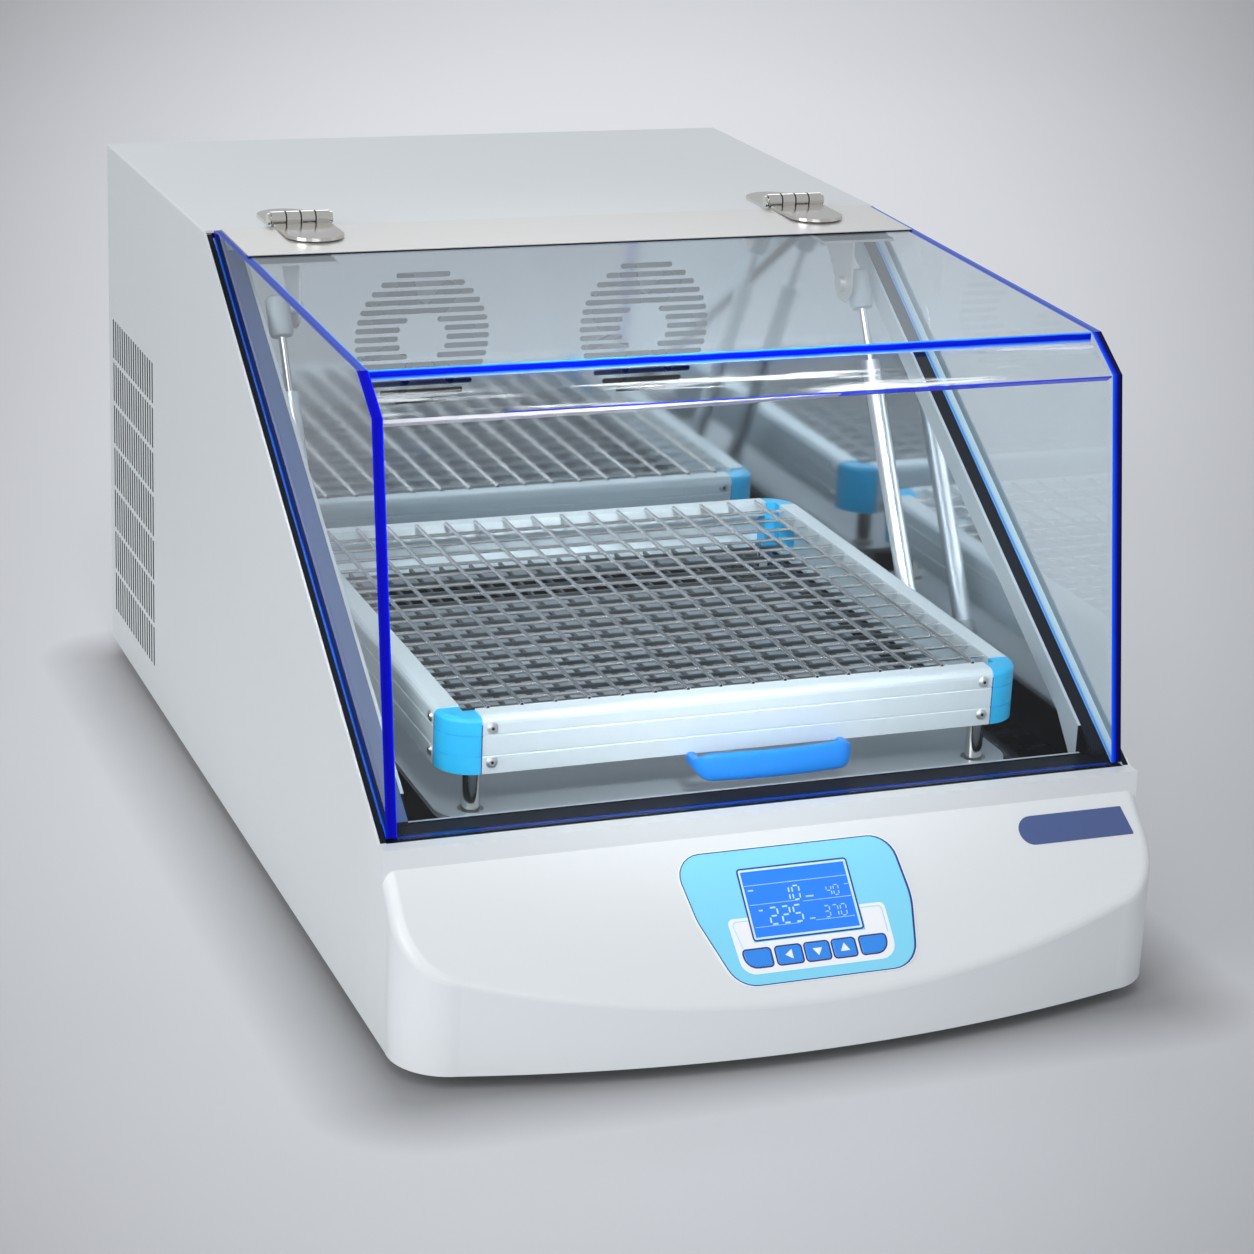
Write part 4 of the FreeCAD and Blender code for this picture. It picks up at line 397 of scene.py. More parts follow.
def mesh_piece(name, bm, body, *materials):
    """Piece made from a bmesh, riding on a body; a face's index picks its material."""
    bmesh.ops.recalc_face_normals(bm, faces=bm.faces)
    mesh = bpy.data.meshes.new(name)
    bm.to_mesh(mesh)
    bm.free()
    for material in materials:
        mesh.materials.append(material)
    piece = bpy.data.objects.new(name, mesh)
    bpy.context.scene.collection.objects.link(piece)
    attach(piece, body)
    return piece


def bridge(bm, rings):
    """Quads from each ring of vertices to the next."""
    for a, b in zip(rings, rings[1:]):
        for i in range(len(a)):
            j = (i + 1) % len(a)
            bm.faces.new((a[i], a[j], b[j], b[i]))


def loft(bm, rings):
    """Closed solid through the rings, flat at both ends."""
    bridge(bm, rings)
    bm.faces.new(rings[0])
    bm.faces.new(rings[-1])


def circle(bm, centre, radius, side, other, steps):
    """Ring of vertices round a centre, in the plane of two unit vectors."""
    turns = [2 * math.pi * k / steps for k in range(steps)]
    return [bm.verts.new(centre + radius * (math.cos(turn) * side + math.sin(turn) * other))
            for turn in turns]


def lathe(bm, profile, centre, axis, steps=28, index=0):
    """Solid of revolution: profile is a list of (radius, height) along axis, closed by its ends."""
    axis = Vector(axis).normalized()
    side = axis.orthogonal().normalized()
    other = axis.cross(side)
    rings = []
    for radius, height in profile:
        middle = Vector(centre) + axis * height
        rings.append(circle(bm, middle, radius, side, other, steps) if radius else [bm.verts.new(middle)])
    for a, b in zip(rings, rings[1:]):
        for k in range(steps):
            j = (k + 1) % steps
            corners = dict.fromkeys((a[k % len(a)], a[j % len(a)], b[j % len(b)], b[k % len(b)]))
            if len(corners) > 2:
                bm.faces.new(list(corners)).material_index = index


def smooth(piece, angle=35):
    """Smooth shading up to an angle between faces."""
    for face in piece.data.polygons:
        face.use_smooth = True
    piece.data.set_sharp_from_angle(angle=math.radians(angle))
    return piece


def prism(outline, along):
    """Closed prism: the outline's points, swept by the vector along."""
    bm = bmesh.new()
    loft(bm, [[bm.verts.new(Vector(p) + shift) for p in outline] for shift in (Vector(), Vector(along))])
    return bm


def soften(piece, width, segments=3, angle=35.0):
    """Small real radius on every hard edge, with smooth shading."""
    bevel = piece.modifiers.new("edge", "BEVEL")
    bevel.width = width
    bevel.segments = segments
    bevel.limit_method = "ANGLE"
    bevel.angle_limit = math.radians(angle)
    bevel.harden_normals = True
    for face in piece.data.polygons:
        face.use_smooth = True
    return piece


def smooth_nodes():
    """Round faces of the frame's nodes shade round, and flat ones stay flat."""
    for node in NODES.values():
        for face in node.data.polygons:
            face.use_smooth = True
        node.data.set_sharp_from_angle(angle=math.radians(28))


# Studio

FLOOR_SIZE = 40.0
# Half sizes of the footprint round which the floor's painted shadow falls.
CABINET_X, CABINET_Y = 0.28, 0.45


def seen_from_camera(t, at):
    """How far across and up a point lies in the fitted view, as shares of its depth."""
    where = t.add("ShaderNodeVectorMath", operation="SUBTRACT")
    t.link(at, where.inputs[0])
    where.inputs[1].default_value = CAMERA_PLACE
    parts = []
    for axis in (CAMERA_FORWARD, CAMERA_RIGHT, CAMERA_RIGHT.cross(CAMERA_FORWARD)):
        dot = t.add("ShaderNodeVectorMath", operation="DOT_PRODUCT")
        t.link(where.outputs["Vector"], dot.inputs[0])
        dot.inputs[1].default_value = axis
        parts.append(dot.outputs["Value"])
    depth, across, rise = parts
    return t.math("DIVIDE", across, depth), t.math("DIVIDE", rise, depth)


def from_cabinet(t, at):
    """Distance of a floor point from the cabinet's footprint."""
    split = t.add("ShaderNodeSeparateXYZ")
    t.link(at, split.inputs[0])
    squares = []
    for axis, half in (("X", CABINET_X), ("Y", CABINET_Y)):
        gap = t.math("MAXIMUM", t.math("SUBTRACT", t.math("ABSOLUTE", split.outputs[axis]), half), 0.0)
        squares.append(t.math("MULTIPLY", gap, gap))
    return t.math("SQRT", t.math("ADD", *squares))


def floor_material():
    """Pale floor with painted light: painted shade towards the picture's corners, a painted shadow beside
    the cabinet, and a painted glow that makes it lighter far behind it.
    """
    t = Tree("floor")
    at = t.place()
    across, rise = seen_from_camera(t, at)
    spread = t.math("MULTIPLY", across, across)
    corner = t.math("ADD", spread, t.math("MULTIPLY", rise, rise))
    colour = t.blend(t.noise(at, 1.5, 2.0), (0.63, 0.64, 0.665), (0.66, 0.67, 0.695))
    # Painted shade, darkest towards the corners of the view.
    colour = t.blend(t.span(corner, 0.0, 0.34, 0.03, 0.080), colour, (0, 0, 0))
    # Painted shadow round the cabinet's footprint.
    colour = t.blend(t.span(from_cabinet(t, at), 0.55, 0.0, 0.012, 0.085), colour, (0, 0, 0))
    shader = t.principled(colour, 0.6, normal=t.bump(t.noise(at, 220.0), 0.1, 0.0002))
    # A painted glow lightens the floor, most far behind the cabinet.
    shader.inputs["Emission Color"].default_value = (0.96, 0.97, 1, 1)
    fade = t.span(spread, 1.0, 0.25, 0.0, 0.045)
    lift = t.math("MULTIPLY", t.span(rise, 0.02, 0.32, -0.12, 0.19), fade)
    t.link(lift, shader.inputs["Emission Strength"])
    return t.finish(shader)


def studio():
    """Floor and even grey surroundings."""
    bpy.ops.mesh.primitive_plane_add(size=FLOOR_SIZE, location=(0, 0, 0))
    floor = bpy.context.object
    floor.name = "floor"
    floor.data.materials.append(floor_material())
    world = bpy.data.worlds.new("studio")
    bpy.context.scene.world = world
    world.use_nodes = True
    background = world.node_tree.nodes["Background"]
    background.inputs["Color"].default_value = (0.82, 0.84, 0.87, 1)
    background.inputs["Strength"].default_value = 0.57


def lamp(name, place, target, size, power, colour=(1, 1, 1), spread=180):
    """Rectangular soft light at a place, turned to a target."""
    data = bpy.data.lights.new(name, "AREA")
    data.spread = math.radians(spread)
    data.shape = "RECTANGLE"
    data.size, data.size_y = size
    data.energy = power
    data.color = colour
    piece = bpy.data.objects.new(name, data)
    piece.location = place
    piece.rotation_euler = (Vector(target) - Vector(place)).to_track_quat("-Z", "Y").to_euler()
    bpy.context.scene.collection.objects.link(piece)


def lamps():
    lamp("key", (-1.2, -2.2, 3.4), (0, 0, 0.2), (2.2, 1.6), 37, (1, 0.995, 0.985))
    lamp("fill_left", (-3.0, -1.6, 1.6), (0, 0, 0.2), (1.8, 2.0), 47, (1, 1, 1))
    lamp("fill_front", (-0.6, -4.0, 1.1), (0, 0, 0.2), (2.0, 1.2), 12, (1, 1, 1))
    lamp("tray_light", (-0.35, -1.7, 1.55), (0, -0.06, 0.22), (0.3, 0.3), 0.78, (0.96, 0.98, 1), 15)
    lamp("fill_right", (3.0, -1.4, 1.8), (0, 0, 0.2), (1.6, 2.2), 3, (0.95, 0.97, 1))
    lamp("back", (0.6, 3.2, 2.6), (0, 0.2, 0.3), (2.6, 1.2), 20, (0.97, 0.98, 1))


def camera():
    """Camera on the fitted view, with its axes made square to each other."""
    data = bpy.data.cameras.new("camera")
    data.sensor_width = SENSOR
    data.lens = LENS
    data.clip_end = 100
    piece = bpy.data.objects.new("camera", data)
    right = CAMERA_RIGHT.normalized()
    back = -(CAMERA_FORWARD - CAMERA_FORWARD.dot(right) * right).normalized()
    up = back.cross(right)
    turn = Matrix((right, up, back)).transposed().to_4x4()
    piece.matrix_world = Matrix.Translation(CAMERA_PLACE) @ turn
    bpy.context.scene.collection.objects.link(piece)
    bpy.context.scene.camera = piece


# Shapes drawn on the sloping control face, in millimetres

def on_slope(x, down, out):
    """Point of the control face: x across, down the slope from its top crease, out of it."""
    c, s = math.cos(SLOPE), math.sin(SLOPE)
    return Vector((x * MM, DECK_Y - (down * c + out * s) * MM, CREASE_Z - (down * s - out * c) * MM))


def rounded(corners, steps=7):
    """Points of a polygon whose corners (x, y, radius) are rounded."""
    points = []
    count = len(corners)
    for i, (x, y, radius) in enumerate(corners):
        here = Vector((x, y))
        a = (Vector(corners[i - 1][:2]) - here).normalized()
        b = (Vector(corners[(i + 1) % count][:2]) - here).normalized()
        half = a.angle(b) / 2
        centre = here + (a + b).normalized() * (radius / math.sin(half))
        start = here + a * (radius / math.tan(half)) - centre
        end = here + b * (radius / math.tan(half)) - centre
        first = math.atan2(start.y, start.x)
        sweep = (math.atan2(end.y, end.x) - first + math.pi) % (2 * math.pi) - math.pi
        for k in range(steps + 1):
            angle = first + sweep * k / steps
            points.append((centre.x + radius * math.cos(angle), centre.y + radius * math.sin(angle)))
    return points


def inset(points, distance):
    """The same closed outline, moved inwards by distance."""
    count = len(points)
    area = sum(points[i - 1][0] * points[i][1] - points[i][0] * points[i - 1][1] for i in range(count))
    side = 1 if area > 0 else -1
    moved = []
    for i in range(count):
        here = Vector(points[i])
        a = (here - Vector(points[i - 1])).normalized()
        b = (Vector(points[(i + 1) % count]) - here).normalized()
        normal = Vector((-(a.y + b.y), a.x + b.x)).normalized() * side
        lean = max(0.4, normal.dot(Vector((-a.y, a.x)) * side))
        moved.append(tuple(here + normal * (distance / lean)))
    return moved


def plates(polygons, low, high):
    """Flat raised shapes on the control face, between two heights over it."""
    bm = bmesh.new()
    for points in polygons:
        loft(bm, [[bm.verts.new(on_slope(x, y, h)) for x, y in points] for h in (low, high)])
    return bm


def band(outer, inner, low, high):
    """Flat raised ring on the control face, between two outlines of equal count."""
    bm = bmesh.new()
    loops = [[bm.verts.new(on_slope(x, y, h)) for x, y in points]
             for points, h in ((outer, high), (inner, high), (inner, low), (outer, low))]
    bridge(bm, loops + loops[:1])
    return bm


# Control panel graphics: outline, keypad field, display frame, plain numbers and arrows

FILM = 0.8
OVERLAY = ((-84, 12.5, 18), (84, 12.5, 20), (89, 62, 60), (79, 114, 22), (-57, 114, 22), (-76, 62, 40))
KEYPAD_FIELD = ((-54, 63.5, 4), (-38, 63.5, 0.5), (-38, 82.5, 0.5), (47, 82.5, 0.5), (47, 63.5, 0.5),
                (66, 63.5, 4), (66, 105.5, 12), (-51.5, 105.5, 11))
FIELD_LINES = (((-51.6, 65.6, 3), (-38.5, 65.6, 0.3), (-38.5, 66.4, 0.3), (-50.9, 66.4, 2.6),
                (-46.8, 86, 0.3), (-47.6, 86, 0.3)),
               ((63.6, 65.6, 3), (47.5, 65.6, 0.3), (47.5, 66.4, 0.3), (62.8, 66.4, 2.6),
                (62.8, 86, 0.3), (63.6, 86, 0.3)))
DISPLAY_FRAME = ((-38.4, 27.2, 2.6), (46.4, 27.2, 2.6), (46.4, 81.8, 2.6), (-38.4, 81.8, 2.6))
BADGE = ((184, 11.4, 11), (272.5, 11.4, 0.8), (277, 34, 0.8), (188, 34, 11))

# Rules on the display: from x, to x, distance down, width
DISPLAY_RULES = ((-35, 43, 40.3, 0.45), (-34, 2, 54.8, 0.4), (6, 43, 56.0, 0.4), (-34, 0, 71.5, 0.4),
                 (12, 42, 71.0, 0.4), (9, 15, 52.8, 1.2), (8, 12, 69.4, 1.0), (40, 43, 46.8, 0.5),
                 (-33, -29, 44.0, 1.2), (-28.5, -25.5, 59.4, 1.3))

# Figures on the display: text, x, distance down, height, stroke
SMALL_FIGURES = (("40", 25.3, 46.6, 7.4, 0.75), ("370", 19.8, 61.4, 8.4, 0.8))
LARGE_FIGURES = (("10", -8.2, 43.8, 10.4, 1.0), ("225", -21.5, 58.2, 12.2, 1.15))
DISPLAY_INK = 0.38

KEYS = ((-48, -28), (-24, -5), (-2, 16), (19, 36), (40, 60))
KEY_TOP, KEY_LOW = 87.5, 100.5
KEY_CORNER = 2.2
KEY_OUTER_CORNER = 9.0
KEY_DEEP, KEY_PROUD = -4.6, 1.6
SEGMENTS = {"0": "abcdef", "1": "bc", "2": "abged", "3": "abgcd", "4": "fgbc", "5": "afgcd", "7": "abc"}
SEGMENT_LEAN = 0.06


def segment_shapes(text, x, down, height, stroke):
    """Seven-segment figures as thin polygons, leaning a little."""
    width = height * 0.5
    half = height / 2
    bars = {"a": (0, 0, width, 0), "g": (0, half, width, half), "d": (0, height, width, height),
            "f": (0, 0, 0, half), "b": (width, 0, width, half), "e": (0, half, 0, height),
            "c": (width, half, width, height)}
    near, far, thick = stroke * 0.75, stroke * 1.125, stroke / 2
    shapes = []
    for order, figure in enumerate(text):
        left = x + order * width * 1.5
        for name in SEGMENTS[figure]:
            x0, y0, x1, y1 = bars[name]
            if y0 == y1:
                points = [(x0 + near, y0), (x0 + far, y0 - thick), (x1 - far, y0 - thick),
                          (x1 - near, y0), (x1 - far, y0 + thick), (x0 + far, y0 + thick)]
            else:
                points = [(x0, y0 + near), (x0 + thick, y0 + far), (x0 + thick, y1 - far),
                          (x0, y1 - near), (x0 - thick, y1 - far), (x0 - thick, y0 + far)]
            shapes.append([(left + a + (height - b) * SEGMENT_LEAN, down + b) for a, b in points])
    return shapes


def rule(x0, x1, down, width):
    """Thin rectangle across the display, given by its ends, its middle line and its width."""
    top, low = down - width / 2, down + width / 2
    return [(x0, top), (x1, top), (x1, low), (x0, low)]


def leaning(outline, rim, shift):
    """The outline set in by a rim, with its right half drawn in further, most at its far side."""
    middle = sum(x for x, y in outline) / len(outline)
    half = max(x for x, y in outline) - middle
    return [(x - shift * max(0.0, (x - middle) / half), y) for x, y in inset(outline, rim)]


def printed(name, polygons, low, high, material):
    """Flat print on the control face, fixed to the body."""
    return mesh_piece(name, plates(polygons, low, high), "root", material)


def printed_ring(name, outer, inner, low, high, material):
    """Ring-shaped print on the control face, fixed to the body."""
    return mesh_piece(name, band(outer, inner, low, high), "root", material)


def panel_graphics(m):
    """Everything printed on the film, the display's contents, and the bare badge strip."""
    white, navy = m["white_print"], m["navy_print"]
    outline = rounded(OVERLAY)
    printed_ring("panel_hairline", inset(outline, -0.7), inset(outline, 0.05), 0.0, FILM + 0.02, white)
    printed_ring("panel_outline", inset(outline, -0.02), inset(outline, 0.75), FILM - 0.1, FILM + 0.08, navy)
    printed_ring("panel_shade", inset(outline, 0.68), leaning(outline, 0.7, 0.9),
                 FILM - 0.1, FILM + 0.06, navy)
    printed("keypad_field", [rounded(KEYPAD_FIELD, 5)], FILM - 0.2, FILM + 0.1, white)
    printed("keypad_lines", [rounded(line, 3) for line in FIELD_LINES], FILM, FILM + 0.16, m["cyan_print"])
    outer = rounded(DISPLAY_FRAME)
    inner = inset(outer, 1.1)
    printed_ring("display_frame", outer, inner, FILM - 0.2, FILM + 0.3, navy)
    printed_ring("display_inner_frame", inner, inset(inner, 1.6), DISPLAY_INK - 0.03, FILM + 0.12,
                 m["ice_print"])
    rules = [rule(*values) for values in DISPLAY_RULES]
    printed("display_lines", rules, DISPLAY_INK, DISPLAY_INK + 0.08, m["pale_segment"])
    for size, figures, ink in (("small", SMALL_FIGURES, "pale_segment"),
                               ("large", LARGE_FIGURES, "green_segment")):
        shapes = [shape for values in figures for shape in segment_shapes(*values)]
        printed("display_%s_figures" % size, shapes, DISPLAY_INK, DISPLAY_INK + 0.1, m[ink])
    soften(printed("badge_strip", [rounded(BADGE)], -0.1, 0.5, m["badge_slate"]), 0.15 * MM, 2)


def key_outline(index):
    """Outline of a key; the outer keys have one wide lower corner."""
    x0, x1 = KEYS[index]
    low_right = KEY_OUTER_CORNER if index == len(KEYS) - 1 else KEY_CORNER
    low_left = KEY_OUTER_CORNER if index == 0 else KEY_CORNER
    return rounded(((x0, KEY_TOP, KEY_CORNER), (x1, KEY_TOP, KEY_CORNER),
                    (x1, KEY_LOW, low_right), (x0, KEY_LOW, low_left)))


def arrow(index):
    """Arrow on one of the three middle keys: left, down or up."""
    x = sum(KEYS[index]) / 2
    y = (KEY_TOP + KEY_LOW) / 2
    shapes = {1: [(-3.4, 0), (2.2, -3.6), (2.2, 3.6)], 2: [(-3.6, -2.2), (3.6, -2.2), (0, 3.4)],
              3: [(-3.6, 2.4), (0, -3.6), (3.6, 2.4)]}
    return [(x + a, y + b) for a, b in shapes.get(index, [])]


def keys(m):
    """Key caps with a dark surround, each riding on its own body."""
    for index in range(len(KEYS)):
        name = "key_%d" % (index + 1)
        outline = key_outline(index)
        shape = plates([inset(outline, 0.25)], KEY_DEEP, KEY_PROUD)
        cap = mesh_piece(name + "_cap", shape, name, m["key_blue"])
        soften(cap, 0.5 * MM)
        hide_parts(name)
        printed_ring(name + "_surround", inset(outline, -1.0), inset(outline, 0.1), FILM - 0.1, FILM + 0.25,
                     m["navy_print"])
        if arrow(index):
            shape = plates([arrow(index)], KEY_PROUD - 0.1, KEY_PROUD + 0.08)
            mesh_piece(name + "_arrow", shape, name, m["white_print"])


# Clear lid and the body's seals

SIDES = ((-1, "left"), (1, "right"))
BEND_Y, BEND_Z = DECK_Y + 0.0655, 0.442
STRIP_FRONT = (0.0245, 0.4733)
STRIP_HALF = LID_HALF - 0.005
RIM_FOOT = Vector((0, -0.3805, 0.15726))
RIM_RUN = Vector((0, 0.4985, 0.31324))
RIM_UP = Vector((0, -0.532, 0.847))
RIM_INNER, RIM_OUTER = 0.2841, 0.2882
LIP_FRONT_Y = DECK_Y + 0.06
# Box of the vent slots' walls that get painted shade.
VENT_X = 0.286
VENT_Y = (0.300, 0.475)
VENT_Z = (0.035, 0.33)


def faces_to(node, material, test):
    """Give the faces that pass the test another material; the shape stays as it is."""
    node.data.materials.append(material)
    slot = len(node.data.materials) - 1
    for face in node.data.polygons:
        if test(face.normal, face.center):
            face.material_index = slot


def edge_faces(m):
    """Painted-light colours for the cut edges of the sheets, and the painted reflection veils and highlight
    streaks on the sheets that show one.
    """
    sides = NODES["lid_side_sheets"]
    faces_to(sides, m["clear_right"], lambda n, c: n.x > 0.9 and c.x > 0)
    faces_to(sides, m["edge_top"], lambda n, c: abs(n.x) < 0.5 and n.z > 0.95)
    faces_to(sides, m["edge_low"], lambda n, c: abs(n.x) < 0.5 and n.z < 0)
    faces_to(sides, m["edge_deep"], lambda n, c: abs(n.x) < 0.5 and 0 <= n.z <= 0.95)
    faces_to(NODES["lid_top_sheet"], m["clear_top"], lambda n, c: n.z > 0.9)
    faces_to(NODES["lid_top_sheet"], m["edge_front"], lambda n, c: n.y < -0.5)
    faces_to(NODES["lid_front_sheet"], m["edge_foot"], lambda n, c: n.z < -0.95)
    faces_to(NODES["lid_front_sheet"], m["clear_streak_highlights"], lambda n, c: n.z > 0.3 and n.y < -0.3)


def lid_joints(m):
    """Glued joint inside the front bend, drawn as painted light: a glowing blue line to the right and a pale
    painted highlight to the left, tapered.
    """
    half = LID_HALF - SHEET_T - 0.0005
    front, back = BEND_Y + 0.0002, BEND_Y + 0.0064
    for word, gap, stations in (("blue", 0.0004, ((-0.19, 0.0001), (-0.05, 0.0010), (half, 0.0011))),
                                ("pale", 0.0014, ((-half, 0.0027), (-0.10, 0.0024), (0.06, 0.0001)))):
        bm = bmesh.new()
        top, inner = BEND_Z - gap, BEND_Z - gap - 0.004
        loft(bm, [[bm.verts.new(p) for p in ((x, front, top), (x, front, top - drop),
                                             (x, back, inner - drop), (x, back, inner))]
                  for x, drop in stations])
        mesh_piece("lid_joint_" + word, bm, "lid", m["joint_" + word])


def seals(m):
    """A black line of painted shade under the top strip's front edge, and black seals along the cover's two
    sloping rims.
    """
    y, z = STRIP_FRONT
    outline = [(-STRIP_HALF, y + a, z + b)
               for a, b in ((-0.0012, -0.0005), (0.004, -0.0004), (0.004, 0.0006), (-0.0012, 0.0005))]
    # A black strip standing for the painted shade under the strip's front edge.
    mesh_piece("strip_shade_line", prism(outline, (2 * STRIP_HALF, 0, 0)), "lid", m["black_rubber"])
    for side, word in SIDES:
        section = ((RIM_INNER, -0.0003), (RIM_OUTER, -0.0003), (RIM_OUTER, 0.0006), (RIM_INNER, 0.0006))
        outline = [RIM_FOOT + RIM_UP * up + Vector((side * x, 0, 0)) for x, up in section]
        mesh_piece("slope_seal_" + word, prism(outline, RIM_RUN), "root", m["black_rubber"])


def body_faces(m):
    """Faces of the body's nodes that show another material (black seal faces, a painted sheen on the
    gasket's left faces, painted shade on the vent slots' walls), and the plate's soft edge.
    """
    faces_to(NODES["opening_lip"], m["black_rubber"],
             lambda n, c: n.x * c.x > 0.0001 and abs(n.x) > 0.9 or (n.y < -0.9 and c.y < LIP_FRONT_Y))
    # Painted sheen: the black gasket's upward faces on the left get a lit slate colour.
    faces_to(NODES["lid_gasket"], m["gasket_sheen"], lambda n, c: n.z > 0.3 and n.y < -0.3 and c.x < -0.2)
    # Painted shade on the vent slots' walls.
    faces_to(NODES["outer_cover"], m["vent_shadow"], lambda n, c: abs(n.x) < 0.3 and abs(c.x) > VENT_X
             and VENT_Y[0] < c.y < VENT_Y[1] and VENT_Z[0] < c.z < VENT_Z[1])
    soften(NODES["platform_plate"], 1.1 * MM, 2, 50)


# Struts: end fittings, as profiles of (radius, height)

STRUT_X = 0.247
STRUT_LOW = (DECK_Y + 0.292, 0.157)
STRUT_HIGH = (DECK_Y + 0.446, 0.424)
SOCKET = ((0, -0.0105), (0.0075, -0.0105), (0.0095, -0.0085), (0.0095, 0.018), (0.008, 0.0215),
          (0.0035, 0.0225), (0, 0.0225))
FOOT = ((0, -0.0105), (0.0085, -0.0105), (0.0092, -0.009), (0.0092, 0.016), (0.0085, 0.0175), (0, 0.0175))


def strut_ends(m):
    """Plastic sockets on the rods' upper ends and feet on the cylinders' lower ends."""
    for side, word in SIDES:
        low = Vector((side * STRUT_X, *STRUT_LOW))
        high = Vector((side * STRUT_X, *STRUT_HIGH))
        for name, profile, place, along, body in (("strut_socket_", SOCKET, high, low - high, "strut_rod_"),
                                                  ("strut_foot_", FOOT, low, high - low, "strut_cylinder_")):
            bm = bmesh.new()
            lathe(bm, profile, place, along, 32)
            smooth(mesh_piece(name + word, bm, body + word, m["grey_plastic"]))


# Tray: rivets, spring wires with cut ends, painted shade lines at the corner joints, handle

TRAY_Y = DECK_Y + 0.2925
TRAY_HALF = 0.226
TRAY_LOW = 0.178
RAIL_H, RAIL_W, RAIL_END = 0.043, 0.018, 0.027
RIVET_HEAD = ((0, -0.0004), (0.0042, -0.0004), (0.0042, 0.0004), (0.0038, 0.0009), (0.0030, 0.0011),
              (0.0026, 0.0016), (0.0015, 0.0018), (0.0012, 0.0017))
RIVET_HOLE = ((0.0012, 0.0017), (0.0010, 0.0009), (0, 0.0009))
RIVET_HEIGHTS = (0.0085, 0.0341)
RIVET_FROM_CORNER = 0.0075
WIRE_COUNT = 16
WIRE_PITCH = 0.0253
WIRE_BORE = 0.72


def quarter_turns():
    """Turns that carry a shape drawn on the front rail to each of the four rails."""
    return [Matrix.Rotation(math.pi / 2 * turn, 3, "Z") for turn in range(4)]


def tray_rivets(m):
    """Two rivets, one above the other, near both ends of each rail."""
    bm = bmesh.new()
    reach = TRAY_HALF - RAIL_END - RIVET_FROM_CORNER
    for spin in quarter_turns():
        outwards = spin @ Vector((0, -1, 0))
        for x in (-reach, reach):
            for z in RIVET_HEIGHTS:
                place = spin @ Vector((x, -TRAY_HALF, 0)) + Vector((0, TRAY_Y, TRAY_LOW + z))
                lathe(bm, RIVET_HEAD, place, outwards)
                # The rivet's hole is lined with painted shade.
                lathe(bm, RIVET_HOLE, place, outwards, index=1)
    smooth(mesh_piece("tray_rivets", bm, "tray", m["rivet_aluminium"], m["hole_shade"]))


def wire(bm, start, end, radius, steps=14, parts=6):
    """Straight spring wire whose cut ends show a dark disc of painted shade for their hollow."""
    start, end = Vector(start), Vector(end)
    up = Vector((0, 0, 1))
    side = (end - start).normalized().cross(up)
    rings = [circle(bm, start.lerp(end, part / parts), radius, side, up, steps) for part in range(parts + 1)]
    bridge(bm, rings)
    for ring in (rings[0], rings[-1]):
        centre = sum((v.co for v in ring), Vector()) / steps
        inner = [bm.verts.new(centre + (v.co - centre) * WIRE_BORE) for v in ring]
        bridge(bm, [ring, inner])
        bm.faces.new(inner).material_index = 1


def spring_wires(m):
    """Crossed wires between the rails: thick ones from front to back over thin ones across."""
    bm = bmesh.new()
    reach = TRAY_HALF - RAIL_W
    long_half, cross_half = reach + 0.0015, reach + 0.0004
    top = TRAY_LOW + RAIL_H
    high = top + 0.0006
    for i in range(WIRE_COUNT):
        p = (i - (WIRE_COUNT - 1) / 2) * WIRE_PITCH
        wire(bm, (p, TRAY_Y - long_half, high), (p, TRAY_Y + long_half, high), 0.0017)
        wire(bm, (-cross_half, TRAY_Y + p, top - 0.0022), (cross_half, TRAY_Y + p, top - 0.0025), 0.0014)
    piece = mesh_piece("spring_wires", bm, "tray", m["wire_steel"], m["hole_shade"])
    smooth(piece, 50)
    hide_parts("tray_springs")


def corner_joint_shade(m):
    """Painted shade line where each blue corner meets the rails' ends."""
    bm = bmesh.new()
    near = TRAY_HALF - RAIL_END
    half, front, back = 0.00035, -TRAY_HALF - 0.00012, -TRAY_HALF + 0.001
    for spin in quarter_turns():
        for x in (-near, near):
            foot = ((x - half, front), (x + half, front), (x + half, back), (x - half, back))
            loft(bm, [[bm.verts.new(spin @ Vector((a, b, z)) + Vector((0, TRAY_Y, TRAY_LOW)))
                       for a, b in foot] for z in (0.0, RAIL_H - 0.006)])
    mesh_piece("corner_joint_shade", bm, "tray", m["navy_print"])


# Handle: half lengths along the rail, depths out of it, and the section of its bar

HANDLE_X = 0.018
HANDLE_HALF = 0.0585
HANDLE_BEND_X = 0.0485
HANDLE_DEEP = 0.021
HANDLE_BOW = 0.0032
HANDLE_THICK = 0.0034
HANDLE_SIDES = 20


def handle_path():
    """Middle line of the bar seen from above, from its left end to its right end."""
    left = [(-HANDLE_HALF, 0.0005), (-HANDLE_HALF, -0.009)]
    for k in range(7):
        turn = math.pi / 2 * k / 6
        left.append((-HANDLE_BEND_X - 0.010 * math.cos(turn), -0.0115 - 0.0095 * math.sin(turn)))
    front = []
    for k in range(1, 12):
        x = HANDLE_BEND_X * (k / 6 - 1)
        front.append((x, -HANDLE_DEEP - HANDLE_BOW * (1 - (x / HANDLE_BEND_X) ** 2)))
    return [Vector(p) for p in left + front + [(-x, y) for x, y in reversed(left)]]


def squared(value):
    """Pushes a sine or cosine outwards, so that a circle becomes a rounded box."""
    return math.copysign(abs(value) ** 0.55, value)


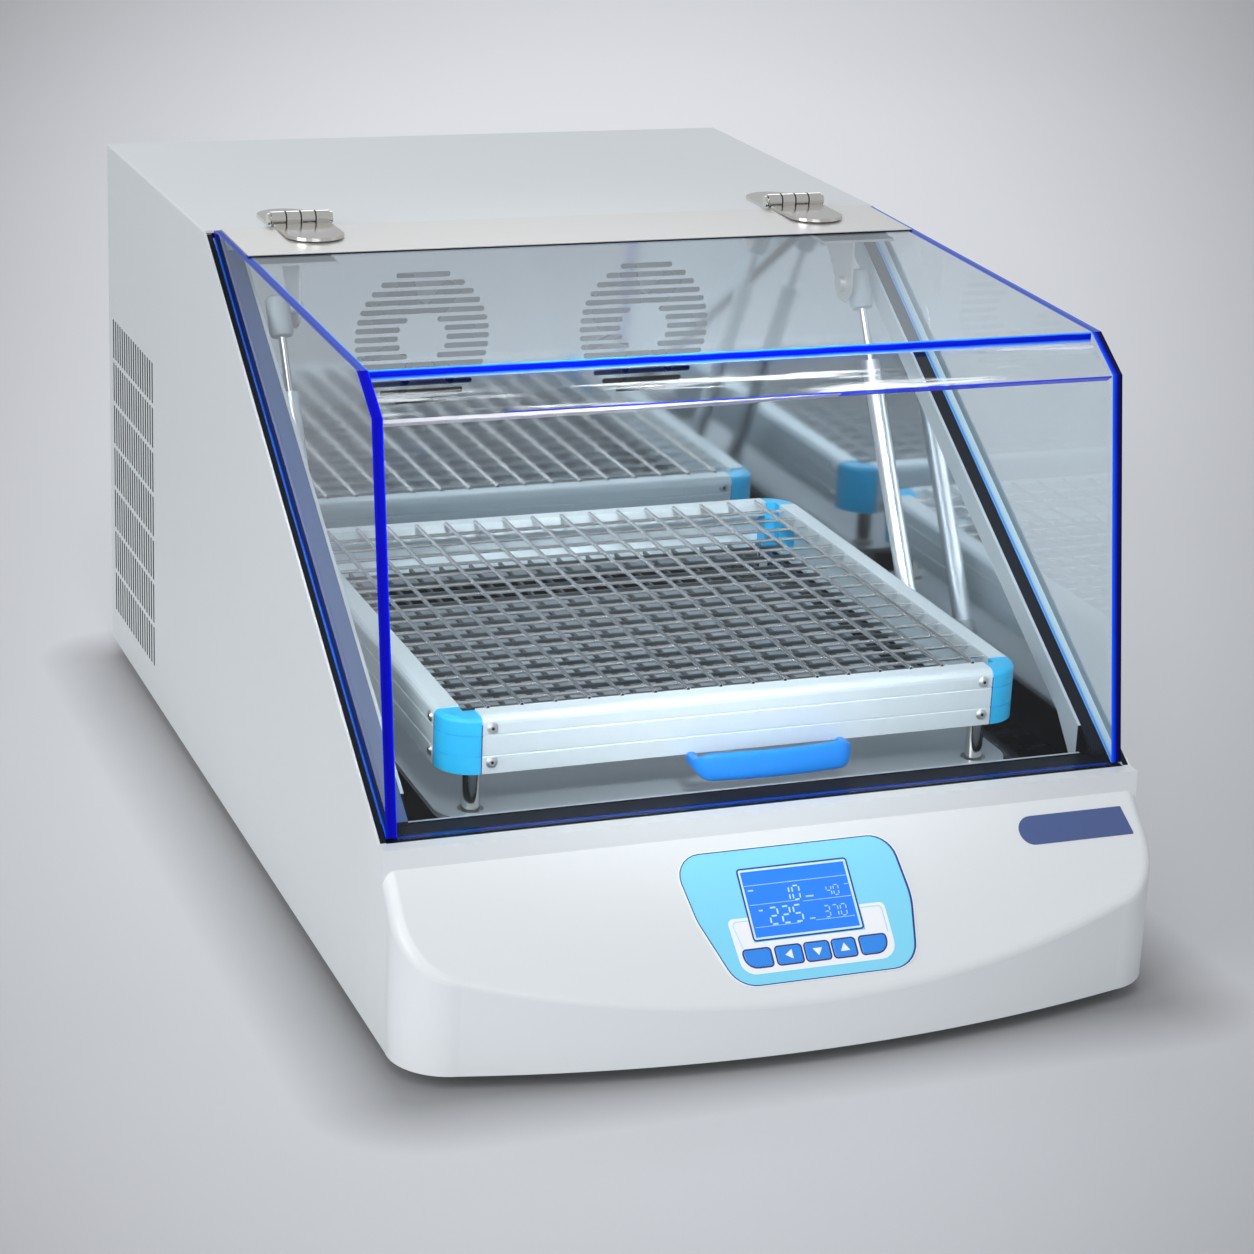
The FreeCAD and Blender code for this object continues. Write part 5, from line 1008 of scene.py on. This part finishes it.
def handle(m):
    """Bow handle: a rounded bar whose two ends turn back to the rail."""
    bm = bmesh.new()
    base = Vector((HANDLE_X, TRAY_Y - TRAY_HALF, TRAY_LOW - 0.003))
    turns = [2 * math.pi * k / HANDLE_SIDES for k in range(HANDLE_SIDES)]
    path = handle_path()
    rings = []
    for i, middle in enumerate(path):
        along = (path[min(len(path) - 1, i + 1)] - path[max(0, i - 1)]).normalized()
        normal = Vector((along.y, -along.x, 0))
        over = max(0.0, abs(middle.x) - 0.050)
        high = 0.0025 + 0.008 * math.sqrt(max(0.05, 1 - (over / 0.0088) ** 2))
        rings.append([bm.verts.new(base + middle.to_3d() + normal * (squared(math.cos(turn)) * HANDLE_THICK)
                                   + Vector((0, 0, squared(math.sin(turn)) * high))) for turn in turns])
    loft(bm, rings)
    piece = mesh_piece("handle_bow", bm, "tray", m["handle_plastic"])
    smooth(piece, 60)
    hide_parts("tray_handle")


# Hinge details, as profiles of (radius, height)

HINGES_X = (-0.213, 0.213)
HINGE_PIN = (0.119, 0.481)
KNUCKLE_PITCH = 0.012
KNUCKLE_GAP = ((0.005, -0.0006), (0.0061, -0.0006), (0.0061, 0.0006), (0.005, 0.0006))
STUD_RIM = ((0, -0.0004), (0.0040, -0.0004), (0.0040, 0.00015), (0.0034, 0.0002), (0.0031, 0.00025))
STUD_HEAD = ((0.0031, 0.00025), (0.0028, 0.0007), (0.0015, 0.0009), (0, 0.0009))
LEAVES = (("lid", "lid", 0.068, 0.4775), ("body", "root", 0.164, 0.4755))


def hinge_marks(m):
    """Painted shade in the gaps between the knuckles, and one pressed stud on each leaf."""
    bm = bmesh.new()
    for x in HINGES_X:
        for k in (-1, 0, 1):
            lathe(bm, KNUCKLE_GAP, (x + k * KNUCKLE_PITCH, *HINGE_PIN), (1, 0, 0), 32)
    smooth(mesh_piece("knuckle_gap_shade", bm, "root", m["hole_shade"]))
    for word, body, y, z in LEAVES:
        bm = bmesh.new()
        for x in HINGES_X:
            lathe(bm, STUD_RIM, (x, y, z), (0, 0, 1), index=1)
            lathe(bm, STUD_HEAD, (x, y, z), (0, 0, 1))
        smooth(mesh_piece("hinge_studs_" + word, bm, body, m["hinge_steel"], m["badge_slate"]))


def build():
    bpy.context.scene.view_settings.view_transform = "Standard"
    m = make_materials()
    dress_frame(m)
    smooth_nodes()
    panel_graphics(m)
    keys(m)
    edge_faces(m)
    lid_joints(m)
    seals(m)
    body_faces(m)
    strut_ends(m)
    tray_rivets(m)
    spring_wires(m)
    corner_joint_shade(m)
    handle(m)
    hinge_marks(m)
    studio()
    lamps()
    camera()


build()
